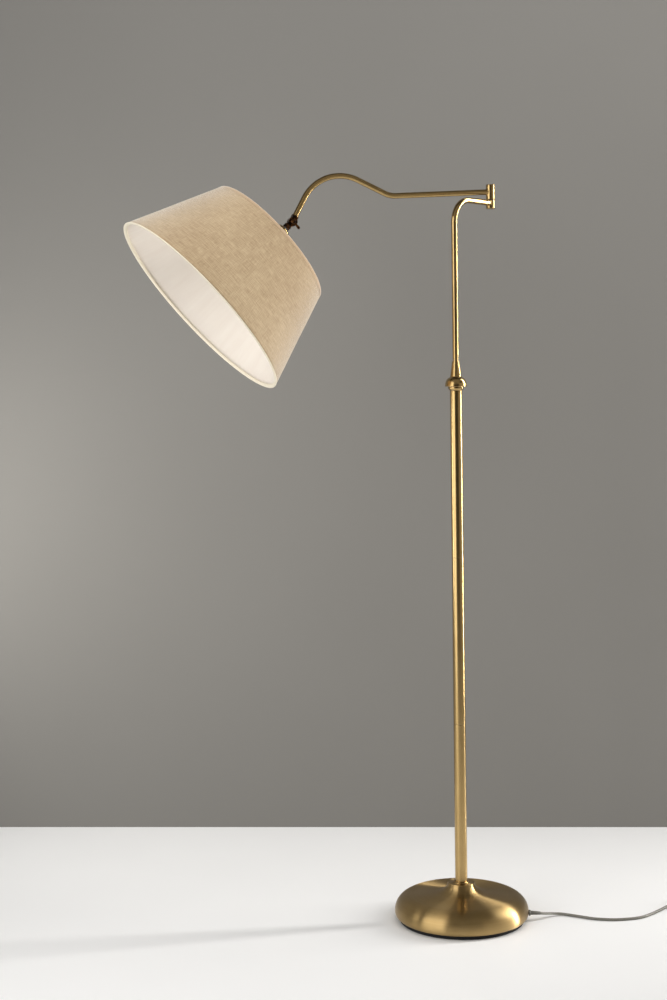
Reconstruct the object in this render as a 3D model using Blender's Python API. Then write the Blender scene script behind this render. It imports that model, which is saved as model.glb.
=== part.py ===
"""Adjustable arm floor lamp: weighted base, three-piece pole, cranked stem, swinging gooseneck arm
and a fabric shade on a clamped swivel.

Metres, +Z up. The origin is the centre of the underside of the base pad, where the lamp stands on
the floor. At rest the arm points along -X and the shade looks down and out at SHADE_TILT.
"""
import math

import bmesh
import bpy
from mathutils import Matrix, Vector

# ---------------------------------------------------------------- driving dimensions
GAP = 0.0003                 # running or seating gap between neighbouring pieces
SIDES = 16                   # facets round a small turned piece
WIDE_SIDES = 36              # facets round the base and the shade

# base
BASE_R = 0.1385              # widest radius of the spun shell
BASE_WIDEST_Z = 0.018
BASE_SHOULDER_R = BASE_R - 0.0385    # where the rounded edge becomes the shallow top
BASE_SHOULDER_Z = 0.0525
BASE_ROUND = 2.2             # exponent of the rounded edge: 2 is an ellipse, more is squarer
BASE_RIM_R = BASE_R - 0.005  # lower edge of the shell
SHELL_WALL = 0.0015
NECK_FOOT_R = 0.056          # where the shallow top sweeps up into the neck
NECK_FOOT_Z = 0.0565
NECK_R = 0.0275              # flat top of the neck
NECK_Z = 0.077
PAD_R = BASE_RIM_R - 0.005
PAD_H = 0.008
WEIGHT_R = BASE_SHOULDER_R + 0.012
WEIGHT_H = 0.022
WEIGHT_CONE_R = 0.034        # foot of the cone that carries the weight's boss
WEIGHT_BOSS_R = 0.018

# pole and collar
PIPE_R = 0.0047              # M10 lamp pipe
PIPE_BORE_R = 0.0033
PIPE_HOLE_R = PIPE_R + GAP
PIPE_NUT_FLATS = 2 * (PIPE_R + 0.0038)
PIPE_NUT_H = 0.006
PIPE_WASHER_R = PIPE_R + 0.0073
PIPE_WASHER_H = 0.0015
NUT_POCKET_R = PIPE_WASHER_R + 0.004
POLE_R = 0.0127              # one-inch tube
POLE_WALL = 0.0012
POLE_LENGTHS = (0.3277, 0.345, 0.346)
COUPLER_HALF = 0.018
COUPLER_BORE_R = 0.0075
BUSH_H = 0.020
COLLAR_RING_H = 0.008
COLLAR_RING_R = POLE_R + 0.0038
COLLAR_BALL_R = POLE_R + 0.0101
COLLAR_BALL_H = 0.019
COLLAR_CONE_H = 0.036

# cranked stem and hinge
TUBE_WALL = 0.001
STEM_R = PIPE_R + TUBE_WALL + 0.00065    # half-inch tube, which slips over the pipe
COLLAR_CONE_R = STEM_R + 0.0059
COLLAR_CONE_TOP_R = STEM_R + 0.0009
STEM_RISE = 0.3351           # from the collar's top up to the stem's level run
STEM_BEND_R = 0.050
STEM_REACH = 0.1235          # from the pole's axis to the hinge's axis
STEM_YAW = math.radians(29.4)
BARREL_R = STEM_R + 0.00305
BARREL_BELOW = 0.0125        # from the stem's level run down to the barrel's lower end
BARREL_H = 0.0518
HINGE_SPLIT = 0.0195         # height of the seam above the barrel's lower end
CAP_H = 0.0016
SPINDLE_R = BARREL_R - 0.0036
SPINDLE_BORE_R = SPINDLE_R - 0.0022
HINGE_WASHER_H = 0.0008
HINGE_POCKET_R = BARREL_R - 0.001    # counterbore for the hinge nut
HINGE_POCKET_H = 0.008

# gooseneck arm, in the upright plane through the hinge along -X
ARM_R = 0.006
ARM_Z = 0.0237               # height of the arm's root above the stem's level run
ARM_RUN = 0.2273             # length from the hinge axis to the first bend
ARM_DROOP = math.radians(3.7)
ARM_DIP_R = 0.050
ARM_RAMP = 0.1607            # length between the bends' corners
ARM_RISE = math.radians(24)
ARM_CREST_R = 0.090
ARM_DROP = 0.1404            # length from the crest's corner to the knuckle
ARM_FALL = math.radians(62)

# knuckle
KNUCKLE_R = 0.0095
KNUCKLE_HALF = 0.0075        # half thickness across the fork
TONGUE_HALF = KNUCKLE_HALF - 0.0046
NECK_HALF = KNUCKLE_R - 0.0033       # half width of the tongue's and the fork's necks
COLLAR_R = ARM_R + 0.0018    # round collars that take the tube and the pipe
FORK_LENGTH = KNUCKLE_R + 0.0043
SPIGOT_LENGTH = 0.016
CLAMP_R = 0.0021
CLAMP_HUB_R = CLAMP_R + 0.0025
CLAMP_HUB_H = 0.0042
CLAMP_END = 0.004            # how far the clamp's screw stands out of the fork
CLAMP_ANGLE = math.radians(51)
LEVER_TIP_R = 0.0030
LEVER_ROOT_HALF = 0.0018
LEVER_THICKNESS = 0.0022
CLAMP_NUT_FLATS = 2 * (CLAMP_R + 0.00215)
CLAMP_NUT_H = 0.003

# socket and bulb, measured from the knuckle's axis along the head's axis
SHADE_TILT = math.radians(41.7)
TONGUE_COLLAR = (KNUCKLE_R + 0.0011, KNUCKLE_R + 0.0100)
COLLAR_EDGE = 0.0008
COLLAR_FLOOR = 0.0035        # solid end of the collar, above the pipe's hole
CAP_START = TONGUE_COLLAR[1] + 0.003
CLAMP_LEVER = CAP_START - 0.003
CAP_SHOULDER = 0.007
SOCKET_SPLIT = CAP_START + 0.0179
SOCKET_END = CAP_START + 0.0570
SOCKET_R = 0.0168
SOCKET_WALL = 0.0009
INSULATOR_START = CAP_START + 0.0270
INSULATOR_FLOOR = 0.003
INSULATOR_R = SOCKET_R - SOCKET_WALL - 0.0004
INSULATOR_WALL = 0.0010
SCREW_SHELL_R = INSULATOR_R - INSULATOR_WALL - 0.0004
SCREW_SHELL_WALL = 0.0005
CONTACT_R = 0.0042
BULB_BASE_R = SCREW_SHELL_R - SCREW_SHELL_WALL - 0.0005
BULB_NECK_R = BULB_BASE_R - 0.0006
BULB_BASE_START = CAP_START + 0.0375
BULB_NECK_START = BULB_BASE_START + 0.0215
BULB_R = 0.030
BULB_CENTRE = BULB_NECK_START + 0.0665
BULB_WALL = 0.0008
SWITCH_AT = CAP_START + 0.0335
SWITCH_SHAFT_R = 0.0015
SWITCH_REACH = SOCKET_R + 0.0087     # from the head's axis to the knob's inner face
SWITCH_GRIP = 0.008          # length of shaft inside the knob
KNOB_LENGTH = 0.013
KNOB_HALF_WIDTH = 0.0062
KNOB_HALF_DEPTH = 0.0036

# shade, measured the same way
SHADE_START = CAP_START + 0.0435
SHADE_H = 0.197
SHADE_TOP_R = 0.150
SHADE_BOTTOM_R = 0.221
FABRIC_WALL = 0.0011
LINER_WALL = 0.0008
TRIM_H = 0.0010
TRIM_WIDTH = 0.0042
WIRE_R = 0.0016
SPOKE_R = 0.0018
UNO_R = SOCKET_R + 0.0004    # bore of the ring that sits on the socket
UNO_WIDTH = 0.0045
UNO_AT = SHADE_START + 0.0055
UNO_H = 0.0016
RETAINER_WIDTH = 0.0032
RETAINER_H = 0.0040

# leads and mains cord
LEAD_R = 0.0022
CORD_R = 0.00275
CORD_ANGLE = math.radians(-23.9)
CORD_Z = 0.0165
GROMMET_R = CORD_R + 0.00325
GROMMET_SLEEVE_R = GROMMET_R - 0.0016
GROMMET_DEPTH = 0.003        # how far the sleeve reaches inside the shell
GROMMET_FLANGE = 0.0016
COIL_FROM_EXIT = (0.3914, -0.0280)   # the coil's centre, seen from where the cord leaves the base
COIL_INNER_R = 0.0245
COIL_OUTER_R = COIL_INNER_R + 6 * CORD_R + 0.0005    # three turns side by side
COIL_LIFT = 0.0015
COIL_H = (4 + math.sqrt(3)) * CORD_R + 0.0004        # two nested layers and one on top
TIE_WIDTH = 0.008
TIE_WALL = 0.0009
TIE_CORNER = 0.002
PLUG_SIZE = (0.024, 0.022, 0.012)
PLUG_TAIL_HALF = 0.0052
BLADE_SIZE = (0.0165, 0.0015, 0.0063)
BLADE_SPACING = 0.0127

# ---------------------------------------------------------------- places worked out from them
POLE_START = NECK_Z + GAP
SEAM_1 = POLE_START + POLE_LENGTHS[0]
SEAM_2 = SEAM_1 + POLE_LENGTHS[1]
POLE_END = SEAM_2 + POLE_LENGTHS[2]
POLE_BORE_R = POLE_R - POLE_WALL
COLLAR_START = POLE_END + COLLAR_RING_H + 2 * GAP
BALL_TOP = COLLAR_START + COLLAR_BALL_H
STEM_START = BALL_TOP + COLLAR_CONE_H + GAP
STEM_Z = STEM_START + STEM_RISE

HINGE = Vector((STEM_REACH * math.cos(STEM_YAW), STEM_REACH * math.sin(STEM_YAW), 0))
BARREL_START = STEM_Z - BARREL_BELOW
BARREL_END = BARREL_START + BARREL_H
SPLIT_Z = BARREL_START + HINGE_SPLIT

OUT = Vector((-1, 0, 0))
UP = Vector((0, 0, 1))
ACROSS = Vector((0, 1, 0))


def heading(angle):
    """Unit vector in the arm's plane, `angle` above the level, pointing away from the hinge."""
    return OUT * math.cos(angle) + UP * math.sin(angle)


ARM_ROOT = HINGE + UP * (STEM_Z + ARM_Z)
ARM_DIP = ARM_ROOT + heading(-ARM_DROOP) * ARM_RUN
ARM_CREST = ARM_DIP + heading(ARM_RISE) * ARM_RAMP
KNUCKLE = ARM_CREST + heading(-ARM_FALL) * ARM_DROP
ARM_BACK = -heading(-ARM_FALL)          # from the knuckle back up the arm
HEAD = heading(-SHADE_TILT)             # from the knuckle down through the shade

# ---------------------------------------------------------------- clean scene and finishes
for old in list(bpy.data.objects):
    bpy.data.objects.remove(old, do_unlink=True)


def finish(name, colour, roughness, metallic=0.0):
    """A plain Principled finish; colour is linear RGB."""
    material = bpy.data.materials.new(name)
    material.use_nodes = True
    shader = material.node_tree.nodes["Principled BSDF"]
    shader.inputs["Base Color"].default_value = (*colour, 1)
    shader.inputs["Roughness"].default_value = roughness
    shader.inputs["Metallic"].default_value = metallic
    return material


BRASS = finish("satin_brass", (0.52, 0.37, 0.15), 0.28, 1.0)
BRUSHED = finish("brushed_brass", (0.45, 0.32, 0.13), 0.36, 1.0)
BRONZE = finish("dark_bronze", (0.10, 0.05, 0.02), 0.35, 1.0)
STEEL = finish("zinc_steel", (0.55, 0.55, 0.53), 0.35, 1.0)
IRON = finish("cast_iron", (0.05, 0.05, 0.05), 0.7, 1.0)
FOAM = finish("black_foam", (0.012, 0.012, 0.012), 0.95)
RUBBER = finish("grey_rubber", (0.12, 0.115, 0.105), 0.7)
CORD = finish("grey_cord", (0.17, 0.165, 0.14), 0.6)
LEAD = finish("lead_pvc", (0.6, 0.58, 0.52), 0.5)
LINEN = finish("linen", (0.60, 0.46, 0.30), 0.95)
LINING = finish("white_lining", (0.88, 0.84, 0.78), 0.8)
TRIM = finish("cream_trim", (0.82, 0.76, 0.64), 0.85)
PAINTED = finish("white_wire", (0.82, 0.80, 0.75), 0.4)
PORCELAIN = finish("porcelain", (0.80, 0.78, 0.72), 0.25)
PHENOLIC = finish("black_phenolic", (0.02, 0.018, 0.015), 0.3)
GLASS = finish("opal_glass", (0.92, 0.90, 0.86), 0.2)


# ---------------------------------------------------------------- joints' empties
def pivot(name, place):
    empty = bpy.data.objects.new(name, None)
    empty.location = place
    bpy.context.scene.collection.objects.link(empty)
    return empty


ARM_PIVOT = pivot("arm_pivot", ARM_ROOT)
HEAD_PIVOT = pivot("head_pivot", KNUCKLE)
CLAMP_PIVOT = pivot("clamp_pivot", KNUCKLE)
SWITCH_PIVOT = pivot("switch_pivot", KNUCKLE + HEAD * SWITCH_AT)


# ---------------------------------------------------------------- shape helpers
def place_object(name, data, material, at, axis, on):
    """Links an object whose local +Z turns to `axis` and whose origin goes to `at`."""
    data.materials.append(material)
    thing = bpy.data.objects.new(name, data)
    bpy.context.scene.collection.objects.link(thing)
    turn = UP.rotation_difference(Vector(axis)).to_matrix().to_4x4()
    world = Matrix.Translation(at) @ turn
    if on is None:
        thing.matrix_world = world
    else:
        thing.parent = on
        thing.matrix_parent_inverse = Matrix.Translation(-on.location)
        thing.matrix_basis = world
    return thing


def smooth(mesh, angle=35):
    mesh.shade_smooth()
    mesh.set_sharp_from_angle(angle=math.radians(angle))


def turned(name, profile, material, at=(0, 0, 0), axis=UP, on=None, sides=SIDES):
    """A solid of revolution about its local Z.

    `profile` holds (radius, height) pairs: a closed loop, or a run that starts and ends on the
    axis. A loop may touch the axis at two points in a row, as at the crown of a hollow bulb.
    """
    bm = bmesh.new()
    rings = []
    for radius, height in profile:
        if radius == 0:
            rings.append([bm.verts.new((0, 0, height))])
            continue
        ring = []
        for i in range(sides):
            turn = 2 * math.pi * i / sides
            ring.append(bm.verts.new((radius * math.cos(turn), radius * math.sin(turn), height)))
        rings.append(ring)
    pairs = list(zip(rings, rings[1:]))
    if profile[0][0] != 0:
        pairs.append((rings[-1], rings[0]))
    for low, high in pairs:
        if len(low) == len(high) == 1:
            continue
        for i in range(sides):
            j = (i + 1) % sides
            if len(low) == 1:
                bm.faces.new((low[0], high[i], high[j]))
            elif len(high) == 1:
                bm.faces.new((low[i], high[0], low[j]))
            else:
                bm.faces.new((low[i], high[i], high[j], low[j]))
    bmesh.ops.recalc_face_normals(bm, faces=bm.faces)
    mesh = bpy.data.meshes.new(name)
    bm.to_mesh(mesh)
    bm.free()
    smooth(mesh)
    return place_object(name, mesh, material, at, axis, on)


def ring(inner, outer, low, high):
    """Profile of a plain bush."""
    return [(inner, low), (outer, low), (outer, high), (inner, high)]


def disc(radius, low, high):
    """Profile of a plain solid disc or rod."""
    return [(0, low), (radius, low), (radius, high), (0, high)]


def plate(name, outline, thickness, material, at=(0, 0, 0), axis=UP, on=None):
    """A flat outline of (x, y) pairs, extruded both ways along the local Z."""
    bm = bmesh.new()
    face = bm.faces.new([bm.verts.new((x, y, -thickness / 2)) for x, y in outline])
    pushed = bmesh.ops.extrude_face_region(bm, geom=[face])["geom"]
    moved = [item for item in pushed if isinstance(item, bmesh.types.BMVert)]
    bmesh.ops.translate(bm, verts=moved, vec=(0, 0, thickness))
    bmesh.ops.recalc_face_normals(bm, faces=bm.faces)
    mesh = bpy.data.meshes.new(name)
    bm.to_mesh(mesh)
    bm.free()
    smooth(mesh)
    return place_object(name, mesh, material, at, axis, on)


def block(name, size, material, at, axis=UP, on=None):
    """A box of `size`, centred on `at`."""
    x, y, z = (side / 2 for side in size)
    return plate(name, [(-x, -y), (x, -y), (x, y), (-x, y)], 2 * z, material, at, axis, on)


def hexagon(across_flats):
    corner = across_flats / math.sqrt(3)
    turns = [math.radians(60 * i) for i in range(6)]
    return [(corner * math.cos(turn), corner * math.sin(turn)) for turn in turns]


def boolean(thing, other, operation):
    """Cuts or joins `other`, which stays in the scene as a hidden guide."""
    change = thing.modifiers.new(f"{operation.lower()}_{other.name}", "BOOLEAN")
    change.operation = operation
    change.object = other
    change.solver = "EXACT"
    other.hide_render = True
    other.display_type = "WIRE"


def rounded_path(corners, radii, step=math.radians(9)):
    """Points along straight runs whose inner corners are rounded by true arcs."""
    points = [corners[0]]
    for before, corner, after, radius in zip(corners, corners[1:], corners[2:], radii):
        into = (corner - before).normalized()
        away = (after - corner).normalized()
        bend = into.angle(away)
        start = corner - into * radius * math.tan(bend / 2)
        side = (away - into * away.dot(into)).normalized()
        count = max(2, round(bend / step))
        for i in range(count + 1):
            turn = bend * i / count
            ahead, aside = radius * math.sin(turn), radius * (1 - math.cos(turn))
            points.append(start + into * ahead + side * aside)
    points.append(corners[-1])
    return points


def bent_tube(name, path, outer, inner, material, at=(0, 0, 0), on=None, sides=14):
    """A hollow tube swept along a flat path, with square-cut ends."""
    first = (path[1] - path[0]).normalized()
    flat = first.cross((path[-1] - path[0]).normalized()).normalized()
    bm = bmesh.new()
    walls = []
    for radius in (outer, inner):
        rings = []
        for i, point in enumerate(path):
            here = (path[min(i + 1, len(path) - 1)] - path[max(i - 1, 0)]).normalized()
            side = flat.cross(here)
            ring_verts = []
            for k in range(sides):
                turn = 2 * math.pi * k / sides
                spoke = side * math.cos(turn) + flat * math.sin(turn)
                ring_verts.append(bm.verts.new(point - Vector(at) + spoke * radius))
            rings.append(ring_verts)
        walls.append(rings)
    for rings in walls:
        for low, high in zip(rings, rings[1:]):
            for k in range(sides):
                j = (k + 1) % sides
                bm.faces.new((low[k], high[k], high[j], low[j]))
    for end in (0, -1):
        outside, inside = walls[0][end], walls[1][end]
        for k in range(sides):
            j = (k + 1) % sides
            bm.faces.new((outside[k], outside[j], inside[j], inside[k]))
    bmesh.ops.recalc_face_normals(bm, faces=bm.faces)
    mesh = bpy.data.meshes.new(name)
    bm.to_mesh(mesh)
    bm.free()
    smooth(mesh)
    return place_object(name, mesh, material, at, UP, on)


def cable(name, points, radius, material, on=None, resolution=2):
    """A solid flexible lead: a curve with a round bevel and filled caps."""
    origin = on.location if on else Vector((0, 0, 0))
    curve = bpy.data.curves.new(name, "CURVE")
    curve.dimensions = "3D"
    curve.bevel_depth = radius
    curve.bevel_resolution = resolution
    curve.use_fill_caps = True
    spline = curve.splines.new("POLY")
    spline.points.add(len(points) - 1)
    for knot, point in zip(spline.points, points):
        knot.co = (*(Vector(point) - origin), 1)
    curve.materials.append(material)
    thing = bpy.data.objects.new(name, curve)
    bpy.context.scene.collection.objects.link(thing)
    if on:
        thing.parent = on
    return thing


def smooth_route(knots, spacing):
    """Points `spacing` apart on a smooth curve (centripetal Catmull-Rom) through `knots`."""
    knots = [Vector(knot) for knot in knots]
    padded = [2 * knots[0] - knots[1], *knots, 2 * knots[-1] - knots[-2]]
    fine = []
    for a, b, c, d in zip(padded, padded[1:], padded[2:], padded[3:]):
        t1 = (b - a).length ** 0.5
        t2 = t1 + (c - b).length ** 0.5
        t3 = t2 + (d - c).length ** 0.5
        for i in range(24):
            t = t1 + (t2 - t1) * i / 24
            ab = a.lerp(b, t / t1)
            bc = b.lerp(c, (t - t1) / (t2 - t1))
            cd = c.lerp(d, (t - t2) / (t3 - t2))
            abc = ab.lerp(bc, t / t2)
            bcd = bc.lerp(cd, (t - t1) / (t3 - t1))
            fine.append(abc.lerp(bcd, (t - t1) / (t2 - t1)))
    fine.append(knots[-1])
    route = [fine[0]]
    travelled = 0.0
    for before, after in zip(fine, fine[1:]):
        travelled += (after - before).length
        if travelled >= spacing:
            route.append(after)
            travelled = 0.0
    if (route[-1] - fine[-1]).length < spacing / 2:
        route.pop()
    route.append(fine[-1])
    return route


# ---------------------------------------------------------------- base
def quarter(steps):
    """Sine and cosine at even steps through a quarter turn, the start left out."""
    turns = [math.pi / 2 * i / steps for i in range(1, steps + 1)]
    return [(math.sin(turn), max(math.cos(turn), 0)) for turn in turns]


def shell_outline(rim_steps, round_steps):
    """Half section of the spun shell, from its rim over the rounded edge to the top of the neck."""
    rim_z = PAD_H + GAP
    outline = [(BASE_RIM_R, rim_z)]
    for sine, cosine in quarter(rim_steps):
        radius = BASE_RIM_R + (BASE_R - BASE_RIM_R) * sine
        outline.append((radius, BASE_WIDEST_Z - (BASE_WIDEST_Z - rim_z) * cosine))
    for sine, cosine in quarter(round_steps):
        radius = BASE_SHOULDER_R + (BASE_R - BASE_SHOULDER_R) * cosine ** (2 / BASE_ROUND)
        height = BASE_WIDEST_Z + (BASE_SHOULDER_Z - BASE_WIDEST_Z) * sine ** (2 / BASE_ROUND)
        outline.append((radius, height))
    outline.append((NECK_FOOT_R, NECK_FOOT_Z))
    for sine, cosine in quarter(4):
        radius = NECK_FOOT_R - (NECK_FOOT_R - NECK_R) * sine
        outline.append((radius, NECK_Z - (NECK_Z - NECK_FOOT_Z) * cosine))
    return outline


def inset(outline, wall):
    """The same half section, moved inwards by a wall thickness."""
    moved = [(outline[0][0] - wall, outline[0][1])]
    for before, here, after in zip(outline, outline[1:], outline[2:]):
        along = (Vector(after) - Vector(before)).normalized()
        moved.append((here[0] - along.y * wall, here[1] + along.x * wall))
    moved.append((outline[-1][0] - wall, outline[-1][1] - wall))
    return moved


WEIGHT_START = PAD_H + GAP
WEIGHT_TOP = WEIGHT_START + WEIGHT_H
BOSS_TOP = NECK_Z - SHELL_WALL - GAP
POCKET_TOP = WEIGHT_TOP + 0.0075
WASHER_TOP = POCKET_TOP - GAP
NUT_TOP = WASHER_TOP - PIPE_WASHER_H - GAP
PIPE_START = NUT_TOP - PIPE_NUT_H - 0.001
CORD_OUT = Vector((math.cos(CORD_ANGLE), math.sin(CORD_ANGLE), 0))

turned("base_pad", disc(PAD_R, 0, PAD_H), FOAM, sides=WIDE_SIDES)

weight = turned(
    "base_weight",
    [
        (NUT_POCKET_R, WEIGHT_START),
        (WEIGHT_R, WEIGHT_START),
        (WEIGHT_R, WEIGHT_TOP - 0.004),
        (WEIGHT_R - 0.004, WEIGHT_TOP),
        (WEIGHT_CONE_R, WEIGHT_TOP),
        (WEIGHT_CONE_R - 0.004, POCKET_TOP + 0.006),
        (WEIGHT_BOSS_R, POCKET_TOP + 0.009),
        (WEIGHT_BOSS_R, BOSS_TOP),
        (PIPE_HOLE_R, BOSS_TOP),
        (PIPE_HOLE_R, POCKET_TOP),
        (NUT_POCKET_R, POCKET_TOP),
    ],
    IRON,
    sides=WIDE_SIDES,
)
CHANNEL_HALF = LEAD_R + 0.003
channel = block(
    "lead_channel_cut",
    (WEIGHT_R, 2 * CHANNEL_HALF, 2 * (CORD_Z + CHANNEL_HALF - WEIGHT_START)),
    IRON,
    CORD_OUT * (WEIGHT_R / 2 + NUT_POCKET_R / 2) + UP * WEIGHT_START,
)
channel.rotation_euler = (0, 0, CORD_ANGLE)
boolean(weight, channel, "DIFFERENCE")

outside = shell_outline(3, 8)
inside = inset(shell_outline(2, 4), SHELL_WALL)
shell = turned(
    "base_shell",
    outside + [(PIPE_HOLE_R, NECK_Z), (PIPE_HOLE_R, NECK_Z - SHELL_WALL)] + inside[::-1],
    BRUSHED,
    sides=WIDE_SIDES,
)
cord_hole = turned(
    "cord_hole_cut",
    disc(GROMMET_SLEEVE_R + 0.0004, -0.01, 0.01),
    BRUSHED,
    at=CORD_OUT * BASE_R + UP * CORD_Z,
    axis=CORD_OUT,
    sides=20,
)
boolean(shell, cord_hole, "DIFFERENCE")

flange = BASE_R + GAP
SLEEVE_END = BASE_R - SHELL_WALL - GROMMET_DEPTH
turned(
    "cord_grommet",
    [
        (CORD_R + GAP, SLEEVE_END),
        (GROMMET_SLEEVE_R, SLEEVE_END),
        (GROMMET_SLEEVE_R, flange),
        (GROMMET_R, flange),
        (GROMMET_R - 0.0005, flange + GROMMET_FLANGE),
        (CORD_R + GAP, flange + GROMMET_FLANGE),
    ],
    RUBBER,
    at=UP * CORD_Z,
    axis=CORD_OUT,
    sides=20,
)

washer = ring(PIPE_HOLE_R, PIPE_WASHER_R, WASHER_TOP - PIPE_WASHER_H, WASHER_TOP)
turned("base_washer", washer, STEEL)
nut_middle = UP * (NUT_TOP - PIPE_NUT_H / 2)
nut = plate("base_nut", hexagon(PIPE_NUT_FLATS), PIPE_NUT_H, STEEL, at=nut_middle)
nut_hole = turned("base_nut_cut", disc(PIPE_HOLE_R, PIPE_START, NUT_TOP + 0.002), STEEL)
boolean(nut, nut_hole, "DIFFERENCE")
BUSH_END = POLE_START + BUSH_H
turned("base_pipe", ring(PIPE_BORE_R, PIPE_R, PIPE_START, BUSH_END), STEEL)

# ---------------------------------------------------------------- pole
turned(
    "pole_foot_ring",
    [
        (POLE_R + GAP, POLE_START),
        (POLE_R + 0.0042, POLE_START),
        (POLE_R + 0.0042, POLE_START + 0.0014),
        (POLE_R + 0.0024, POLE_START + 0.0030),
        (POLE_R + GAP, POLE_START + 0.0030),
    ],
    BRASS,
)
turned("pole_bottom_bush", ring(PIPE_HOLE_R, POLE_BORE_R - GAP, POLE_START, BUSH_END), STEEL)
turned("pole_lower", ring(POLE_BORE_R, POLE_R, POLE_START, SEAM_1 - GAP / 2), BRASS)
turned("pole_middle", ring(POLE_BORE_R, POLE_R, SEAM_1 + GAP / 2, SEAM_2 - GAP / 2), BRASS)
turned("pole_upper", ring(POLE_BORE_R, POLE_R, SEAM_2 + GAP / 2, POLE_END), BRASS)
for name, seam in (("pole_coupler_lower", SEAM_1), ("pole_coupler_upper", SEAM_2)):
    sleeve = ring(COUPLER_BORE_R, POLE_BORE_R - GAP, seam - COUPLER_HALF, seam + COUPLER_HALF)
    turned(name, sleeve, STEEL)
turned("pole_top_bush", ring(PIPE_HOLE_R, POLE_BORE_R - GAP, POLE_END - BUSH_H, POLE_END), STEEL)

turned(
    "collar_ring",
    [
        (PIPE_HOLE_R, POLE_END + GAP),
        (POLE_R + GAP, POLE_END + GAP),
        (COLLAR_RING_R, POLE_END + 0.0045),
        (COLLAR_RING_R, POLE_END + COLLAR_RING_H + GAP),
        (PIPE_HOLE_R, POLE_END + COLLAR_RING_H + GAP),
    ],
    BRASS,
)
ball = []
for i in range(6):
    rise = math.pi / 2 * i / 6
    radius = COLLAR_CONE_R + (COLLAR_BALL_R - COLLAR_CONE_R) * math.cos(rise)
    ball.append((radius, COLLAR_START + COLLAR_BALL_H * math.sin(rise)))
turned(
    "collar_body",
    [(PIPE_HOLE_R, COLLAR_START)]
    + ball
    + [
        (COLLAR_CONE_R, BALL_TOP),
        (COLLAR_CONE_TOP_R, BALL_TOP + COLLAR_CONE_H),
        (PIPE_HOLE_R, BALL_TOP + COLLAR_CONE_H),
    ],
    BRASS,
)
turned("stem_nipple", ring(PIPE_BORE_R, PIPE_R, POLE_END - BUSH_H, STEM_START + BUSH_H), STEEL)

# ---------------------------------------------------------------- cranked stem
STEM_CORNER = UP * STEM_Z
STEM_PATH = rounded_path([UP * STEM_START, STEM_CORNER, HINGE + UP * STEM_Z], [STEM_BEND_R])
lower_arm = bent_tube("lower_arm", STEM_PATH, STEM_R, STEM_R - TUBE_WALL, BRASS)
cope = turned(
    "barrel_cope_cut",
    disc(BARREL_R + GAP, BARREL_START - 0.01, BARREL_END + 0.01),
    BRASS,
    at=HINGE,
)
boolean(lower_arm, cope, "DIFFERENCE")

# ---------------------------------------------------------------- vertical hinge
BORE_R = SPINDLE_R + GAP
LOWER_TOP = SPLIT_Z - HINGE_WASHER_H / 2 - GAP
UPPER_LOW = SPLIT_Z + HINGE_WASHER_H / 2 + GAP
UPPER_TOP = BARREL_END - CAP_H - GAP
POCKET_LOW = UPPER_TOP - HINGE_POCKET_H
turned("hinge_bottom_cap", disc(BARREL_R, BARREL_START, BARREL_START + CAP_H), BRASS, at=HINGE)
LOWER_LOW = BARREL_START + CAP_H + GAP
turned("lower_barrel", ring(BORE_R, BARREL_R, LOWER_LOW, LOWER_TOP), BRASS, at=HINGE)
turned(
    "hinge_washer",
    ring(BORE_R, BARREL_R - 0.0008, LOWER_TOP + GAP, UPPER_LOW - GAP),
    PHENOLIC,
    at=HINGE,
)
turned(
    "hinge_spindle",
    ring(SPINDLE_BORE_R, SPINDLE_R, LOWER_LOW, UPPER_TOP),
    STEEL,
    at=HINGE,
)
turned(
    "hinge_spring_washer",
    [
        (BORE_R, POCKET_LOW + GAP),
        (HINGE_POCKET_R - GAP, POCKET_LOW + GAP),
        (HINGE_POCKET_R - GAP, POCKET_LOW + GAP + 0.0006),
        (BORE_R, POCKET_LOW + GAP + 0.0012),
    ],
    STEEL,
    at=HINGE,
)
HINGE_NUT_LOW = POCKET_LOW + 2 * GAP + 0.0012
HINGE_NUT_H = UPPER_TOP - HINGE_NUT_LOW
hinge_nut = plate(
    "hinge_nut",
    hexagon((HINGE_POCKET_R - 2 * GAP) * math.sqrt(3)),
    HINGE_NUT_H,
    STEEL,
    at=HINGE + UP * (HINGE_NUT_LOW + HINGE_NUT_H / 2),
)
nut_bore = disc(BORE_R, HINGE_NUT_LOW - 0.002, UPPER_TOP + 0.002)
boolean(hinge_nut, turned("hinge_nut_cut", nut_bore, STEEL, at=HINGE), "DIFFERENCE")

turned(
    "upper_barrel",
    [
        (BORE_R, UPPER_LOW),
        (BARREL_R, UPPER_LOW),
        (BARREL_R, UPPER_TOP),
        (HINGE_POCKET_R, UPPER_TOP),
        (HINGE_POCKET_R, POCKET_LOW),
        (BORE_R, POCKET_LOW),
    ],
    BRASS,
    at=HINGE,
    on=ARM_PIVOT,
)
turned("hinge_top_cap", disc(BARREL_R, UPPER_TOP + GAP, BARREL_END), BRASS, at=HINGE, on=ARM_PIVOT)

# ---------------------------------------------------------------- gooseneck arm
TUBE_END = KNUCKLE + ARM_BACK * (FORK_LENGTH + GAP)
ARM_PATH = rounded_path([ARM_ROOT, ARM_DIP, ARM_CREST, TUBE_END], [ARM_DIP_R, ARM_CREST_R])
arm_tube = bent_tube(
    "arm_tube", ARM_PATH, ARM_R, ARM_R - TUBE_WALL, BRASS, at=ARM_ROOT, on=ARM_PIVOT
)
boolean(arm_tube, cope, "DIFFERENCE")

# ---------------------------------------------------------------- knuckle
SLOT_HALF = TONGUE_HALF + GAP
SLOT_R = KNUCKLE_R + 0.0006


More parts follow.
